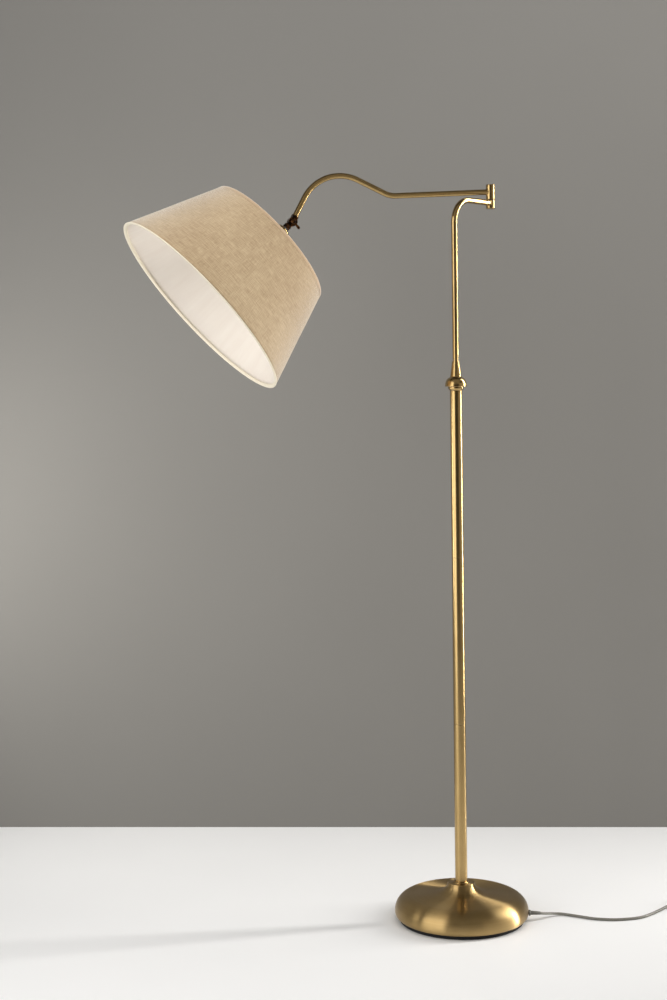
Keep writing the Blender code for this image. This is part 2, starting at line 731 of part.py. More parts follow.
def eye_outline(reach, half_width):
    """Keyhole outline: an eye round the pin, with a neck of `half_width` up to `reach`."""
    start = math.asin(half_width / KNUCKLE_R)
    outline = [(reach, half_width)]
    steps = 16
    for i in range(steps + 1):
        turn = start + (2 * math.pi - 2 * start) * i / steps
        outline.append((KNUCKLE_R * math.cos(turn), KNUCKLE_R * math.sin(turn)))
    outline.append((reach, -half_width))
    return outline


def in_knuckle_plane(thing, direction):
    """Turns a plate so that its local X runs along `direction` and its local Z lies across the arm."""
    local_x = Vector(direction).normalized()
    local_y = ACROSS.cross(local_x)
    turn = Matrix((local_x, local_y, ACROSS)).transposed().to_4x4()
    thing.matrix_basis = Matrix.Translation(KNUCKLE) @ turn
    return thing


fork = in_knuckle_plane(
    plate(
        "swivel_fork",
        eye_outline(FORK_LENGTH - 0.0012, NECK_HALF),
        2 * KNUCKLE_HALF,
        BRONZE,
        on=ARM_PIVOT,
    ),
    ARM_BACK,
)
fork_collar = turned(
    "fork_collar_guide",
    [
        (0, SLOT_R + 0.0010),
        (COLLAR_R, SLOT_R + 0.0010),
        (COLLAR_R, FORK_LENGTH),
        (ARM_R - TUBE_WALL - GAP, FORK_LENGTH),
        (ARM_R - TUBE_WALL - GAP, FORK_LENGTH + SPIGOT_LENGTH),
        (0, FORK_LENGTH + SPIGOT_LENGTH),
    ],
    BRONZE,
    at=KNUCKLE,
    axis=ARM_BACK,
)
boolean(fork, fork_collar, "UNION")
slot = in_knuckle_plane(
    plate(
        "fork_slot_cut",
        [(-0.02, -0.02), (SLOT_R, -0.02), (SLOT_R, 0.02), (-0.02, 0.02)],
        2 * SLOT_HALF,
        BRONZE,
    ),
    ARM_BACK,
)
boolean(fork, slot, "DIFFERENCE")
pin_bore = disc(CLAMP_R + GAP, -0.02, 0.02)
pin_hole = turned("pin_hole_cut", pin_bore, BRONZE, at=KNUCKLE, axis=ACROSS, sides=20)
boolean(fork, pin_hole, "DIFFERENCE")

tongue = in_knuckle_plane(
    plate(
        "swivel_tongue",
        eye_outline(TONGUE_COLLAR[0] + 0.002, NECK_HALF),
        2 * TONGUE_HALF,
        BRONZE,
        on=HEAD_PIVOT,
    ),
    HEAD,
)
tongue_collar = turned(
    "tongue_collar_guide",
    [
        (0, TONGUE_COLLAR[0]),
        (COLLAR_R - COLLAR_EDGE, TONGUE_COLLAR[0]),
        (COLLAR_R, TONGUE_COLLAR[0] + COLLAR_EDGE),
        (COLLAR_R, TONGUE_COLLAR[1] - COLLAR_EDGE),
        (COLLAR_R - COLLAR_EDGE, TONGUE_COLLAR[1]),
        (PIPE_HOLE_R, TONGUE_COLLAR[1]),
        (PIPE_HOLE_R, TONGUE_COLLAR[0] + COLLAR_FLOOR),
        (0, TONGUE_COLLAR[0] + COLLAR_FLOOR),
    ],
    BRONZE,
    at=KNUCKLE,
    axis=HEAD,
)
boolean(tongue, tongue_collar, "UNION")
boolean(tongue, pin_hole, "DIFFERENCE")

# clamp screw with its one-sided lever, and the nut that it pulls against
HUB_IN = KNUCKLE_HALF + GAP
lever_angle = Vector((math.cos(CLAMP_ANGLE), 0, -math.sin(CLAMP_ANGLE)))
clamp = turned(
    "clamp_lever",
    [
        (0, -KNUCKLE_HALF - CLAMP_END),
        (CLAMP_R, -KNUCKLE_HALF - CLAMP_END),
        (CLAMP_R, HUB_IN),
        (CLAMP_HUB_R, HUB_IN),
        (CLAMP_HUB_R, HUB_IN + CLAMP_HUB_H - COLLAR_EDGE),
        (CLAMP_HUB_R - COLLAR_EDGE, HUB_IN + CLAMP_HUB_H),
        (0, HUB_IN + CLAMP_HUB_H),
    ],
    BRONZE,
    at=KNUCKLE,
    axis=-ACROSS,
    on=CLAMP_PIVOT,
)
lever_outline = []
for i in range(9):
    turn = math.radians(-90 + 180 * i / 8)
    along = CLAMP_LEVER - LEVER_TIP_R + LEVER_TIP_R * math.cos(turn)
    lever_outline.append((along, LEVER_TIP_R * math.sin(turn)))
lever_outline += [(0.001, LEVER_ROOT_HALF), (0.001, -LEVER_ROOT_HALF)]
lever = plate("clamp_lever_guide", lever_outline, LEVER_THICKNESS, BRONZE)
in_knuckle_plane(lever, lever_angle)
lever.matrix_basis = Matrix.Translation(-ACROSS * (HUB_IN + 0.0024)) @ lever.matrix_basis
boolean(clamp, lever, "UNION")

swivel_nut = plate(
    "swivel_nut",
    hexagon(CLAMP_NUT_FLATS),
    CLAMP_NUT_H,
    BRONZE,
    at=KNUCKLE + ACROSS * (HUB_IN + CLAMP_NUT_H / 2),
    axis=ACROSS,
    on=ARM_PIVOT,
)
boolean(swivel_nut, pin_hole, "DIFFERENCE")

# ---------------------------------------------------------------- socket, along the head's axis


def head_piece(name, profile, material, sides=SIDES):
    """A turned piece on the head's axis, with heights counted from the knuckle."""
    return turned(name, profile, material, at=KNUCKLE, axis=HEAD, on=HEAD_PIVOT, sides=sides)


NIPPLE_START = TONGUE_COLLAR[0] + COLLAR_FLOOR + GAP
head_piece("head_nipple", ring(PIPE_BORE_R, PIPE_R, NIPPLE_START, CAP_START + 0.006), STEEL)
cap_outside = [
    (SOCKET_R - 0.0076, CAP_START),
    (SOCKET_R - 0.0033, CAP_START + 0.0012),
    (SOCKET_R - 0.0008, CAP_START + 0.0036),
    (SOCKET_R, CAP_START + CAP_SHOULDER),
    (SOCKET_R, SOCKET_SPLIT - GAP),
]
cap_inside = [(radius - SOCKET_WALL, height + SOCKET_WALL) for radius, height in cap_outside[:-1]]
head_piece(
    "socket_cap",
    [(PIPE_HOLE_R, CAP_START)]
    + cap_outside
    + [(SOCKET_R - SOCKET_WALL, SOCKET_SPLIT - GAP)]
    + cap_inside[::-1]
    + [(PIPE_HOLE_R, CAP_START + SOCKET_WALL)],
    BRASS,
)
socket_shell = head_piece(
    "socket_shell", ring(SOCKET_R - SOCKET_WALL, SOCKET_R, SOCKET_SPLIT, SOCKET_END), PHENOLIC
)
SWITCH_PLACE = KNUCKLE + HEAD * SWITCH_AT
switch_hole = turned(
    "switch_hole_cut",
    disc(SWITCH_SHAFT_R + GAP, INSULATOR_R, SWITCH_REACH),
    PHENOLIC,
    at=SWITCH_PLACE,
    axis=-ACROSS,
    sides=16,
)
boolean(socket_shell, switch_hole, "DIFFERENCE")
INSULATOR_END = SOCKET_END - 0.001
THREAD_START = INSULATOR_START + INSULATOR_FLOOR
head_piece(
    "socket_insulator",
    [
        (CONTACT_R + GAP, INSULATOR_START),
        (INSULATOR_R, INSULATOR_START),
        (INSULATOR_R, INSULATOR_END),
        (INSULATOR_R - INSULATOR_WALL, INSULATOR_END),
        (INSULATOR_R - INSULATOR_WALL, THREAD_START),
        (CONTACT_R + GAP, THREAD_START),
    ],
    PORCELAIN,
)
screw_shell = ring(
    SCREW_SHELL_R - SCREW_SHELL_WALL, SCREW_SHELL_R, THREAD_START + GAP, INSULATOR_END - 0.001
)
head_piece("socket_screw_shell", screw_shell, BRASS)
head_piece("socket_contact", disc(CONTACT_R, INSULATOR_START, BULB_BASE_START - GAP), BRASS)

turned(
    "switch_shaft",
    disc(SWITCH_SHAFT_R, INSULATOR_R + GAP, SWITCH_REACH + SWITCH_GRIP),
    BRASS,
    at=SWITCH_PLACE,
    axis=-ACROSS,
    on=SWITCH_PIVOT,
    sides=16,
)
knob_outline = []
for i in range(16):
    turn = math.pi / 8 * i
    knob_outline.append((KNOB_HALF_WIDTH * math.cos(turn), KNOB_HALF_DEPTH * math.sin(turn)))
knob = plate(
    "switch_knob",
    knob_outline,
    KNOB_LENGTH,
    PHENOLIC,
    at=SWITCH_PLACE - ACROSS * (SWITCH_REACH + KNOB_LENGTH / 2),
    axis=-ACROSS,
    on=SWITCH_PIVOT,
)
knob_bore = disc(SWITCH_SHAFT_R + GAP, SWITCH_REACH - 0.002, SWITCH_REACH + SWITCH_GRIP + GAP)
knob_cut = turned("knob_bore_cut", knob_bore, PHENOLIC, at=SWITCH_PLACE, axis=-ACROSS)
boolean(knob, knob_cut, "DIFFERENCE")

# ---------------------------------------------------------------- bulb
head_piece(
    "bulb_base",
    [
        (0, BULB_BASE_START),
        (0.005, BULB_BASE_START),
        (BULB_BASE_R, BULB_BASE_START + 0.005),
        (BULB_BASE_R, BULB_NECK_START - GAP),
        (0, BULB_NECK_START - GAP),
    ],
    STEEL,
)


def bulb_outline(shrink):
    """Half section of the glass from its neck to its crown."""
    radius = BULB_R - shrink
    neck = BULB_NECK_R - shrink
    outline = [(neck, BULB_NECK_START), (neck + 0.0008, BULB_NECK_START + 0.010)]
    shoulder = math.radians(-52)
    for i in range(8):
        turn = shoulder + (math.radians(90) - shoulder) * i / 8
        outline.append((radius * math.cos(turn), BULB_CENTRE + radius * math.sin(turn)))
    outline.append((0, BULB_CENTRE + radius))
    return outline


head_piece("bulb_glass", bulb_outline(0) + bulb_outline(BULB_WALL)[::-1], GLASS)

# ---------------------------------------------------------------- shade
SHADE_END = SHADE_START + SHADE_H
SLOPE = (SHADE_BOTTOM_R - SHADE_TOP_R) / SHADE_H


def shade_radius(height, inset=0.0):
    """Radius of the shade's outer face at `height`, less `inset`."""
    return SHADE_TOP_R + SLOPE * (height - SHADE_START) - inset


def cone_wall(low, high, outer_inset, inner_inset):
    """Profile of a slanted wall between two insets from the shade's outer face."""
    return [
        (shade_radius(low, inner_inset), low),
        (shade_radius(low, outer_inset), low),
        (shade_radius(high, outer_inset), high),
        (shade_radius(high, inner_inset), high),
    ]


FABRIC_LOW = SHADE_START + TRIM_H + GAP
FABRIC_HIGH = SHADE_END - TRIM_H - GAP
LINER_FACE = FABRIC_WALL + GAP + LINER_WALL
TOP_WIRE_AT = FABRIC_LOW + WIRE_R
BOTTOM_WIRE_AT = FABRIC_HIGH - WIRE_R
head_piece("shade_fabric", cone_wall(FABRIC_LOW, FABRIC_HIGH, 0, FABRIC_WALL), LINEN, WIDE_SIDES)
head_piece(
    "shade_liner",
    cone_wall(FABRIC_LOW, FABRIC_HIGH, FABRIC_WALL + GAP, LINER_FACE),
    LINING,
    WIDE_SIDES,
)
top_edge = cone_wall(SHADE_START, SHADE_START + TRIM_H, 0, TRIM_WIDTH)
bottom_edge = cone_wall(SHADE_END - TRIM_H, SHADE_END, 0, TRIM_WIDTH)
head_piece("shade_top_trim", top_edge, TRIM, WIDE_SIDES)
head_piece("shade_bottom_trim", bottom_edge, TRIM, WIDE_SIDES)


def hoop(radius, height):
    """Profile of a round wire hoop of `radius` whose wire is centred at `height`."""
    turns = [math.pi / 3 * i for i in range(6)]
    return [(radius + WIRE_R * math.cos(turn), height + WIRE_R * math.sin(turn)) for turn in turns]


head_piece(
    "shade_bottom_wire",
    hoop(shade_radius(BOTTOM_WIRE_AT, LINER_FACE + 2 * GAP + WIRE_R), BOTTOM_WIRE_AT),
    PAINTED,
    WIDE_SIDES,
)
TOP_WIRE_R = shade_radius(TOP_WIRE_AT, LINER_FACE + 2 * GAP + WIRE_R)
uno_ring = ring(UNO_R, UNO_R + UNO_WIDTH, UNO_AT, UNO_AT + UNO_H)
spider = head_piece("shade_spider", uno_ring, PAINTED, 48)
top_wire = head_piece("top_wire_guide", hoop(TOP_WIRE_R, TOP_WIRE_AT), PAINTED, WIDE_SIDES)
lay = UP.rotation_difference(HEAD)
for i in range(3):
    inner = Vector((UNO_R + UNO_WIDTH - 0.0022, 0, UNO_AT + UNO_H / 2))
    outer = Vector((TOP_WIRE_R, 0, TOP_WIRE_AT))
    turn = Matrix.Rotation(math.radians(120 * i + 90), 3, "Z")
    start = KNUCKLE + lay @ (turn @ inner)
    reach = KNUCKLE + lay @ (turn @ outer) - start
    rod = disc(SPOKE_R, 0, reach.length)
    spoke = turned(f"spoke_guide_{i}", rod, PAINTED, at=start, axis=reach, sides=12)
    boolean(spider, spoke, "UNION")
boolean(spider, top_wire, "UNION")
RETAINER_LOW = UNO_AT + max(UNO_H, UNO_H / 2 + SPOKE_R) + GAP
head_piece(
    "shade_retaining_ring",
    ring(UNO_R, UNO_R + RETAINER_WIDTH, RETAINER_LOW, RETAINER_LOW + RETAINER_H),
    PHENOLIC,
    24,
)

# ---------------------------------------------------------------- leads inside the tubes
LEAD_BEND = 0.010
LEAD_SHORT = 0.002           # how far the leads stop short of the barrels
floor_run = UP * CORD_Z + CORD_OUT * (SLEEVE_END - 2 * GAP)
stem_end = HINGE - HINGE.normalized() * (BARREL_R + LEAD_SHORT) + UP * STEM_Z
stand_route = rounded_path(
    [floor_run, UP * CORD_Z, STEM_CORNER, stem_end],
    [LEAD_BEND, STEM_BEND_R],
    math.radians(10),
)
cable("stand_lead", stand_route, LEAD_R, LEAD)
arm_start = ARM_ROOT + heading(-ARM_DROOP) * (BARREL_R + LEAD_SHORT)
arm_stop = TUBE_END + ARM_BACK * (SPIGOT_LENGTH + 2 * GAP)
arm_route = rounded_path(
    [arm_start, ARM_DIP, ARM_CREST, arm_stop],
    [ARM_DIP_R, ARM_CREST_R],
    math.radians(10),
)
cable("arm_lead", arm_route, LEAD_R, LEAD, on=ARM_PIVOT)
head_stop = KNUCKLE + HEAD * (INSULATOR_START - 2 * GAP)
cable("head_lead", [KNUCKLE + HEAD * (NIPPLE_START + GAP), head_stop], LEAD_R, LEAD, on=HEAD_PIVOT)

# ---------------------------------------------------------------- mains cord, coiled out of the way
CORD_START = UP * CORD_Z + CORD_OUT * (flange + GROMMET_FLANGE + GAP)
CORD_LOW = CORD_R + 0.00015  # height of the cord's centre where it lies on the floor
CORD_ROUTE = [               # along X and Y from where it leaves the base, and up from CORD_LOW
    (0.0134, -0.0038, 0.0129),
    (0.0274, -0.0020, 0.0101),
    (0.0414, 0.0035, 0.0067),
    (0.0574, 0.0090, 0.0033),
    (0.0774, 0.0065, 0.0007),
    (0.0914, -0.0040, 0.0000),
    (0.1047, -0.0175, 0.0000),
    (0.1297, -0.0415, 0.0000),
    (0.1687, -0.0600, 0.0000),
    (0.2150, -0.0645, 0.0000),
    (0.2465, -0.0540, 0.0000),
    (0.2774, -0.0370, 0.0000),
    (0.3063, -0.0195, 0.0000),
    (0.3324, -0.0075, 0.0003),
]
exit_place = Vector((CORD_START.x, CORD_START.y, 0))
coil_place = exit_place + Vector((*COIL_FROM_EXIT, 0))
COIL_MEETS = math.radians(144.4)     # where the cord comes up against the coil
COIL_STANDOFF = 0.0025
meeting = COIL_OUTER_R + CORD_R + COIL_STANDOFF
cord_knots = [CORD_START]
cord_knots += [exit_place + Vector(knot) + UP * CORD_LOW for knot in CORD_ROUTE]
cord_knots.append(
    coil_place
    + Vector((math.cos(COIL_MEETS), math.sin(COIL_MEETS), 0)) * meeting
    + UP * (CORD_LOW + 0.0014)
)
cable("cord_free", smooth_route(cord_knots, 2.6 * 2 * CORD_R), CORD_R, CORD)

coil = ring(COIL_INNER_R, COIL_OUTER_R, COIL_LIFT, COIL_LIFT + COIL_H)
turned("cord_coil", coil, CORD, at=coil_place, sides=24)

TIE_ANGLE = math.radians(-60)
tie_out = Vector((math.cos(TIE_ANGLE), math.sin(TIE_ANGLE), 0))
coil_middle = (COIL_INNER_R + COIL_OUTER_R) / 2
half_w = (COIL_OUTER_R - COIL_INNER_R) / 2 + 0.0012
half_h = COIL_H / 2 + GAP


def rounded_box(half_x, half_y, radius):
    outline = []
    for quarter in range(4):
        centre_x = (half_x - radius) * (1 if quarter in (0, 3) else -1)
        centre_y = (half_y - radius) * (1 if quarter in (0, 1) else -1)
        for i in range(4):
            turn = math.radians(90 * quarter + 30 * i)
            outline.append((centre_x + radius * math.cos(turn), centre_y + radius * math.sin(turn)))
    return outline


def upright(thing, along, at):
    """Stands a plate so that its local X runs along `along` and its local Y runs up."""
    turn = Matrix((along, UP, along.cross(UP))).transposed().to_4x4()
    thing.matrix_basis = Matrix.Translation(at) @ turn
    return thing


tie_place = coil_place + tie_out * coil_middle + UP * (COIL_LIFT + COIL_H / 2)
tie_outline = rounded_box(half_w + TIE_WALL, half_h + TIE_WALL, TIE_CORNER)
tie = plate("cord_tie", tie_outline, TIE_WIDTH, PHENOLIC)
upright(tie, tie_out, tie_place)
tie_inside = rounded_box(half_w, half_h, TIE_CORNER - TIE_WALL)
tie_cut = plate("cord_tie_cut", tie_inside, 2 * TIE_WIDTH, PHENOLIC)
boolean(tie, upright(tie_cut, tie_out, tie_place), "DIFFERENCE")

PLUG_ANGLE = math.radians(60)
plug_out = Vector((math.cos(PLUG_ANGLE), math.sin(PLUG_ANGLE), 0))
plug_along = Vector((math.sin(PLUG_ANGLE), -math.cos(PLUG_ANGLE), 0))
plug_low = COIL_LIFT + COIL_H + GAP
plug_place = coil_place + plug_out * (coil_middle - 0.004) + UP * (plug_low + PLUG_SIZE[2] / 2)
half_long, half_wide = PLUG_SIZE[0] / 2, PLUG_SIZE[1] / 2
plug_outline = [
    (half_long, -half_wide),
    (half_long, half_wide),
    (0, half_wide),
    (-half_long, PLUG_TAIL_HALF),
    (-half_long, -PLUG_TAIL_HALF),
    (0, -half_wide),
]
plug = plate("cord_plug", plug_outline, PLUG_SIZE[2], PHENOLIC)
plug_side = UP.cross(plug_along)
plug_turn = Matrix((plug_along, plug_side, UP)).transposed().to_4x4()
plug.matrix_basis = Matrix.Translation(plug_place) @ plug_turn
for i, side in enumerate((-1, 1)):
    blade = block(f"plug_blade_{i + 1}", BLADE_SIZE, BRASS, (0, 0, 0))
    shift = plug_along * (half_long + GAP + BLADE_SIZE[0] / 2)
    shift += plug_side * side * BLADE_SPACING / 2
    blade.matrix_basis = Matrix.Translation(plug_place + shift) @ plug_turn
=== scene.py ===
"""Looks of the adjustable arm floor lamp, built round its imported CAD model.

Metres, +Z up, origin on the floor under the middle of the base. The sections follow the lamp as it
is put together: base, pole, cranked stem, hinge, arm, knuckle, socket, bulb, shade, leads, cord,
and last the studio.
"""
import math

import bmesh
import bpy
from mathutils import Matrix, Vector


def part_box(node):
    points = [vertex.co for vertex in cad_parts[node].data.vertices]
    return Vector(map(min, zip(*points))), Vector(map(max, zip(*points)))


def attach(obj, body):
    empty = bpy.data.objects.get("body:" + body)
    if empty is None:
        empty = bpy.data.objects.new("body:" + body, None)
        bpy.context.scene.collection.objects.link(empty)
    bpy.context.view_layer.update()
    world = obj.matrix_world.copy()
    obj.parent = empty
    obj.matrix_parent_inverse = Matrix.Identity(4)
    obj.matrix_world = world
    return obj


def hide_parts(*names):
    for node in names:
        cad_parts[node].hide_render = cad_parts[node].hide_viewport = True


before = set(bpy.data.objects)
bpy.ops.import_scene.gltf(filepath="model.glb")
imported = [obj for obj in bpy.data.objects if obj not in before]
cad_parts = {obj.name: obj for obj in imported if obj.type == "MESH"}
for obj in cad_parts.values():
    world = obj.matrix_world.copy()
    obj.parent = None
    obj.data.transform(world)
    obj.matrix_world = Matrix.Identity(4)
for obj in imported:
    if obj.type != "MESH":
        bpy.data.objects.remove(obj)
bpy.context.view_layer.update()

# ---------------------------------------------------------------- foam pad
# Black EVA foam glued under the base, so that the lamp neither slips nor marks the floor. It is
# die-cut from sheet: a square rim, a hair's rounding at its edges, and open cells all over.
UP = Vector((0, 0, 1))


def srgb(code):
    """Linear RGBA of an sRGB hex colour such as "C8A060"."""
    parts = [int(code[i : i + 2], 16) / 255 for i in (0, 2, 4)]
    linear = [p / 12.92 if p <= 0.04045 else ((p + 0.055) / 1.055) ** 2.4 for p in parts]
    return (*linear, 1.0)


def add_node(tree, kind, links=None, **settings):
    """Adds one node. `links` maps an input to a value or to the socket that feeds it."""
    made = tree.nodes.new(kind)
    for key, value in settings.items():
        setattr(made, key, value)
    for key, value in (links or {}).items():
        if isinstance(value, bpy.types.NodeSocket):
            tree.links.new(value, made.inputs[key])
        else:
            made.inputs[key].default_value = value
    return made


def new_finish(name, colour, values):
    """A finish with its constants set on the Principled shader; returns it, its tree and shader."""
    finish = bpy.data.materials.new(name)
    finish.use_nodes = True
    shader = finish.node_tree.nodes["Principled BSDF"]
    shader.inputs["Base Color"].default_value = srgb(colour)
    for socket, value in values.items():
        shader.inputs[socket].default_value = value
    return finish, finish.node_tree, shader


def two_tones(tree, shader, factor, dark, light):
    """Colours the finish from `dark` to `light` as the factor goes from 0 to 1."""
    ramp = add_node(tree, "ShaderNodeValToRGB", {"Fac": factor})
    ramp.color_ramp.elements[0].color = srgb(dark)
    ramp.color_ramp.elements[1].color = srgb(light)
    tree.links.new(ramp.outputs["Color"], shader.inputs["Base Color"])
    return ramp


def raise_grain(tree, shader, height, depth, strength=1.0):
    """Feeds a bump `depth` metres deep into the shader."""
    bump = add_node(tree, "ShaderNodeBump", {"Height": height, "Distance": depth, "Strength": strength})
    tree.links.new(bump.outputs["Normal"], shader.inputs["Normal"])


def spread_value(tree, factor, low, high, socket):
    """Feeds `socket` with a value that runs from `low` to `high` with the factor."""
    span = add_node(tree, "ShaderNodeMapRange", {"Value": factor, "To Min": low, "To Max": high})
    tree.links.new(span.outputs["Result"], socket)


def make_piece(name, points, faces, own, finish, place=None):
    """A mesh piece with smooth faces. `own` keeps each point's place before it was bent or moved."""
    mesh = bpy.data.meshes.new(name)
    mesh.from_pydata([tuple(p) for p in points], [], faces)
    kept = mesh.attributes.new("own", "FLOAT_VECTOR", "POINT")
    kept.data.foreach_set("vector", [c for p in own for c in p])
    bm = bmesh.new()
    bm.from_mesh(mesh)
    bmesh.ops.recalc_face_normals(bm, faces=bm.faces)
    bm.to_mesh(mesh)
    bm.free()
    if place is not None:
        mesh.transform(place)
    mesh.shade_smooth()
    mesh.set_sharp_from_angle(angle=math.radians(38))
    mesh.materials.append(finish)
    piece = bpy.data.objects.new(name, mesh)
    bpy.context.scene.collection.objects.link(piece)
    return piece


def soften(profile, radius, closed=False, steps=4):
    """Rounds each corner of a section by about `radius`."""
    if radius <= 0:
        return profile
    corners = [Vector(p) for p in profile]
    count = len(corners)
    eased = []
    for i, corner in enumerate(corners):
        if not closed and i in (0, count - 1):
            eased.append(corner)
            continue
        back, ahead = corners[i - 1] - corner, corners[(i + 1) % count] - corner
        bend = math.pi - back.angle(ahead, math.pi)
        if bend < 0.3:
            eased.append(corner)
            continue
        cut = min(radius, back.length * 0.45, ahead.length * 0.45)
        start, end = corner + back.normalized() * cut, corner + ahead.normalized() * cut
        for k in range(steps + 1):
            t = k / steps
            eased.append(start * (1 - t) ** 2 + corner * 2 * t * (1 - t) + end * t * t)
    return [tuple(p) for p in eased]


def turn(name, profile, finish, sides=96, place=None, closed=True):
    """A turned piece. The section's (radius, height) pairs close on themselves or on the axis.
    Long straight stretches get a ring near each end, which keeps them shaded straight."""
    held = []
    for here, there in zip(profile, [*profile[1:], profile[0]] if closed else profile[1:]):
        held.append(here)
        gap = math.dist(here, there)
        if gap > 0.003 and min(here[0], there[0]) > 1e-7:
            share = 0.0004 / gap
            held += [
                tuple(a + (b - a) * t for a, b in zip(here, there)) for t in (share, 1 - share)
            ]
    held += [] if closed else [profile[-1]]
    points, faces, rings = [], [], []
    for radius, height in held:
        if radius < 1e-7:
            rings.append([len(points)])
            points.append((0, 0, height))
            continue
        rings.append([len(points) + i for i in range(sides)])
        for i in range(sides):
            angle = 2 * math.pi * i / sides
            points.append((radius * math.cos(angle), radius * math.sin(angle), height))
    pairs = list(zip(rings, rings[1:]))
    if closed and len(rings[0]) > 1:
        pairs.append((rings[-1], rings[0]))
    for low, high in pairs:
        if len(low) == len(high) == 1:
            continue
        for i in range(sides):
            j = (i + 1) % sides
            if len(low) == 1:
                faces.append((low[0], high[j], high[i]))
            elif len(high) == 1:
                faces.append((low[i], low[j], high[0]))
            else:
                faces.append((low[i], low[j], high[j], high[i]))
    return make_piece(name, points, faces, points, finish, place)


def fit(piece, body, slot, *nodes):
    """Puts a finished piece on its body, in place of its plain CAD nodes."""
    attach(piece, body)
    if nodes:
        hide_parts(*nodes)
    return piece


def bare(inner, outer, low, high, edge, steps=3):
    """Section of a plain ring or tube with eased edges."""
    return soften([(inner, low), (outer, low), (outer, high), (inner, high)], edge, True, steps)


def solid(radius, low, high, edge, steps=3):
    """Section of a plain disc or rod with eased edges."""
    return soften([(0, low), (radius, low), (radius, high), (0, high)], edge, False, steps)


# EVA foam, moulded in sheet and cut: matt and near black, with cells about 0.7 mm across.
foam, tree, shader = new_finish("black_eva_foam", "17171A", {"Roughness": 0.92, "IOR": 1.48})
cells = add_node(
    tree,
    "ShaderNodeTexVoronoi",
    {"Vector": add_node(tree, "ShaderNodeTexCoord").outputs["Object"], "Scale": 1400.0},
)
two_tones(tree, shader, cells.outputs["Distance"], "0E0E10", "242427")
raise_grain(tree, shader, cells.outputs["Distance"], 0.0003, 0.6)

pad_low, pad_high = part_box("base_pad")
pad = turn("foam_pad", solid(pad_high.x, pad_low.z, pad_high.z, 0.0009), foam, 144)
fit(pad, "stand", "black_foam", "base_pad")

# ---------------------------------------------------------------- iron weight
# A grey iron casting inside the base that keeps the lamp upright, left as cast: rough, dark and a
# little rusty. Its washer, nut and the threaded lamp pipe are bright zinc-plated steel.
# Cast iron: sand-cast skin, grains about 2 mm, blotches of brown oxide.
cast_iron, tree, shader = new_finish("sand_cast_grey_iron", "3A3835", {"Metallic": 0.85, "Roughness": 0.72})
place = add_node(tree, "ShaderNodeTexCoord").outputs["Object"]
skin = add_node(tree, "ShaderNodeTexNoise", {"Vector": place, "Scale": 480.0, "Detail": 4.0})
rust = add_node(tree, "ShaderNodeTexNoise", {"Vector": place, "Scale": 45.0, "Detail": 3.0})
two_tones(tree, shader, rust.outputs["Fac"], "2A2826", "57483C")
spread_value(tree, skin.outputs["Fac"], 0.6, 0.85, shader.inputs["Roughness"])
raise_grain(tree, shader, skin.outputs["Fac"], 0.0006)

# Zinc-plated steel, barrel plated: bluish grey, satin, with faint tumbling marks of 1 mm or so.
zinc, tree, shader = new_finish("zinc_plated_steel", "B9BCBE", {"Metallic": 1.0, "Roughness": 0.34})
place = add_node(tree, "ShaderNodeTexCoord").outputs["Object"]
marks = add_node(tree, "ShaderNodeTexNoise", {"Vector": place, "Scale": 900.0, "Detail": 2.0})
two_tones(tree, shader, marks.outputs["Fac"], "9C9FA2", "CDD0D1")
spread_value(tree, marks.outputs["Fac"], 0.26, 0.44, shader.inputs["Roughness"])
raise_grain(tree, shader, marks.outputs["Fac"], 0.00005)


def refinish(finish, slot, *nodes):
    """Gives CAD nodes that keep their own shape a real finish."""
    for node in nodes:
        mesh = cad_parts[node].data
        mesh.materials.clear()
        mesh.materials.append(finish)


refinish(cast_iron, "cast_iron", "base_weight")
refinish(
    zinc,
    "zinc_steel",
    "base_washer",
    "base_nut",
    "base_pipe",
    "pole_bottom_bush",
    "pole_coupler_lower",
    "pole_coupler_upper",
    "pole_top_bush",
    "stem_nipple",
    "hinge_spindle",
    "hinge_spring_washer",
    "hinge_nut",
    "head_nipple",
)

# ---------------------------------------------------------------- spun base
# A brass-plated steel shell, spun on a lathe over a former and brushed while it still turned, so
# that its grain runs in circles. The pole's pipe passes through its neck and clamps it to the weight.
BASE_R, WIDEST_Z = 0.1385, 0.018
SHOULDER_R, SHOULDER_Z = 0.100, 0.0525
RIM_R, RIM_Z = 0.1335, 0.0083
NECK_FOOT_R, NECK_FOOT_Z = 0.056, 0.0565
NECK_R, NECK_Z = 0.0275, 0.077
EDGE_POWER = 2.2
SHELL_WALL = 0.0015
PIPE_HOLE_R = 0.005
CORD_ANGLE = math.radians(-23.9)
CORD_Z = 0.0165
CORD_OUT = Vector((math.cos(CORD_ANGLE), math.sin(CORD_ANGLE), 0))


def even_out(points, spacing):
    """The same run of points, `spacing` apart."""
    points = [Vector(p) for p in points]
    run, left = [points[0]], spacing
    for before, after in zip(points, points[1:]):
        length = (after - before).length
        gone = 0.0
        while length - gone >= left:
            gone += left
            run.append(before.lerp(after, gone / length))
            left = spacing
        left -= length - gone
    run[-1] = points[-1] if (run[-1] - points[-1]).length < spacing / 2 else run[-1]
    if (run[-1] - points[-1]).length > 1e-9:
        run.append(points[-1])
    return run


def blend_corners(run, passes):
    """Averages a run of points with their neighbours, with both ends held."""
    for _ in range(passes):
        inner = [a.lerp(c, 0.5).lerp(b, 0.5) for a, b, c in zip(run, run[1:], run[2:])]
        run = [run[0], *inner, run[-1]]
    return run


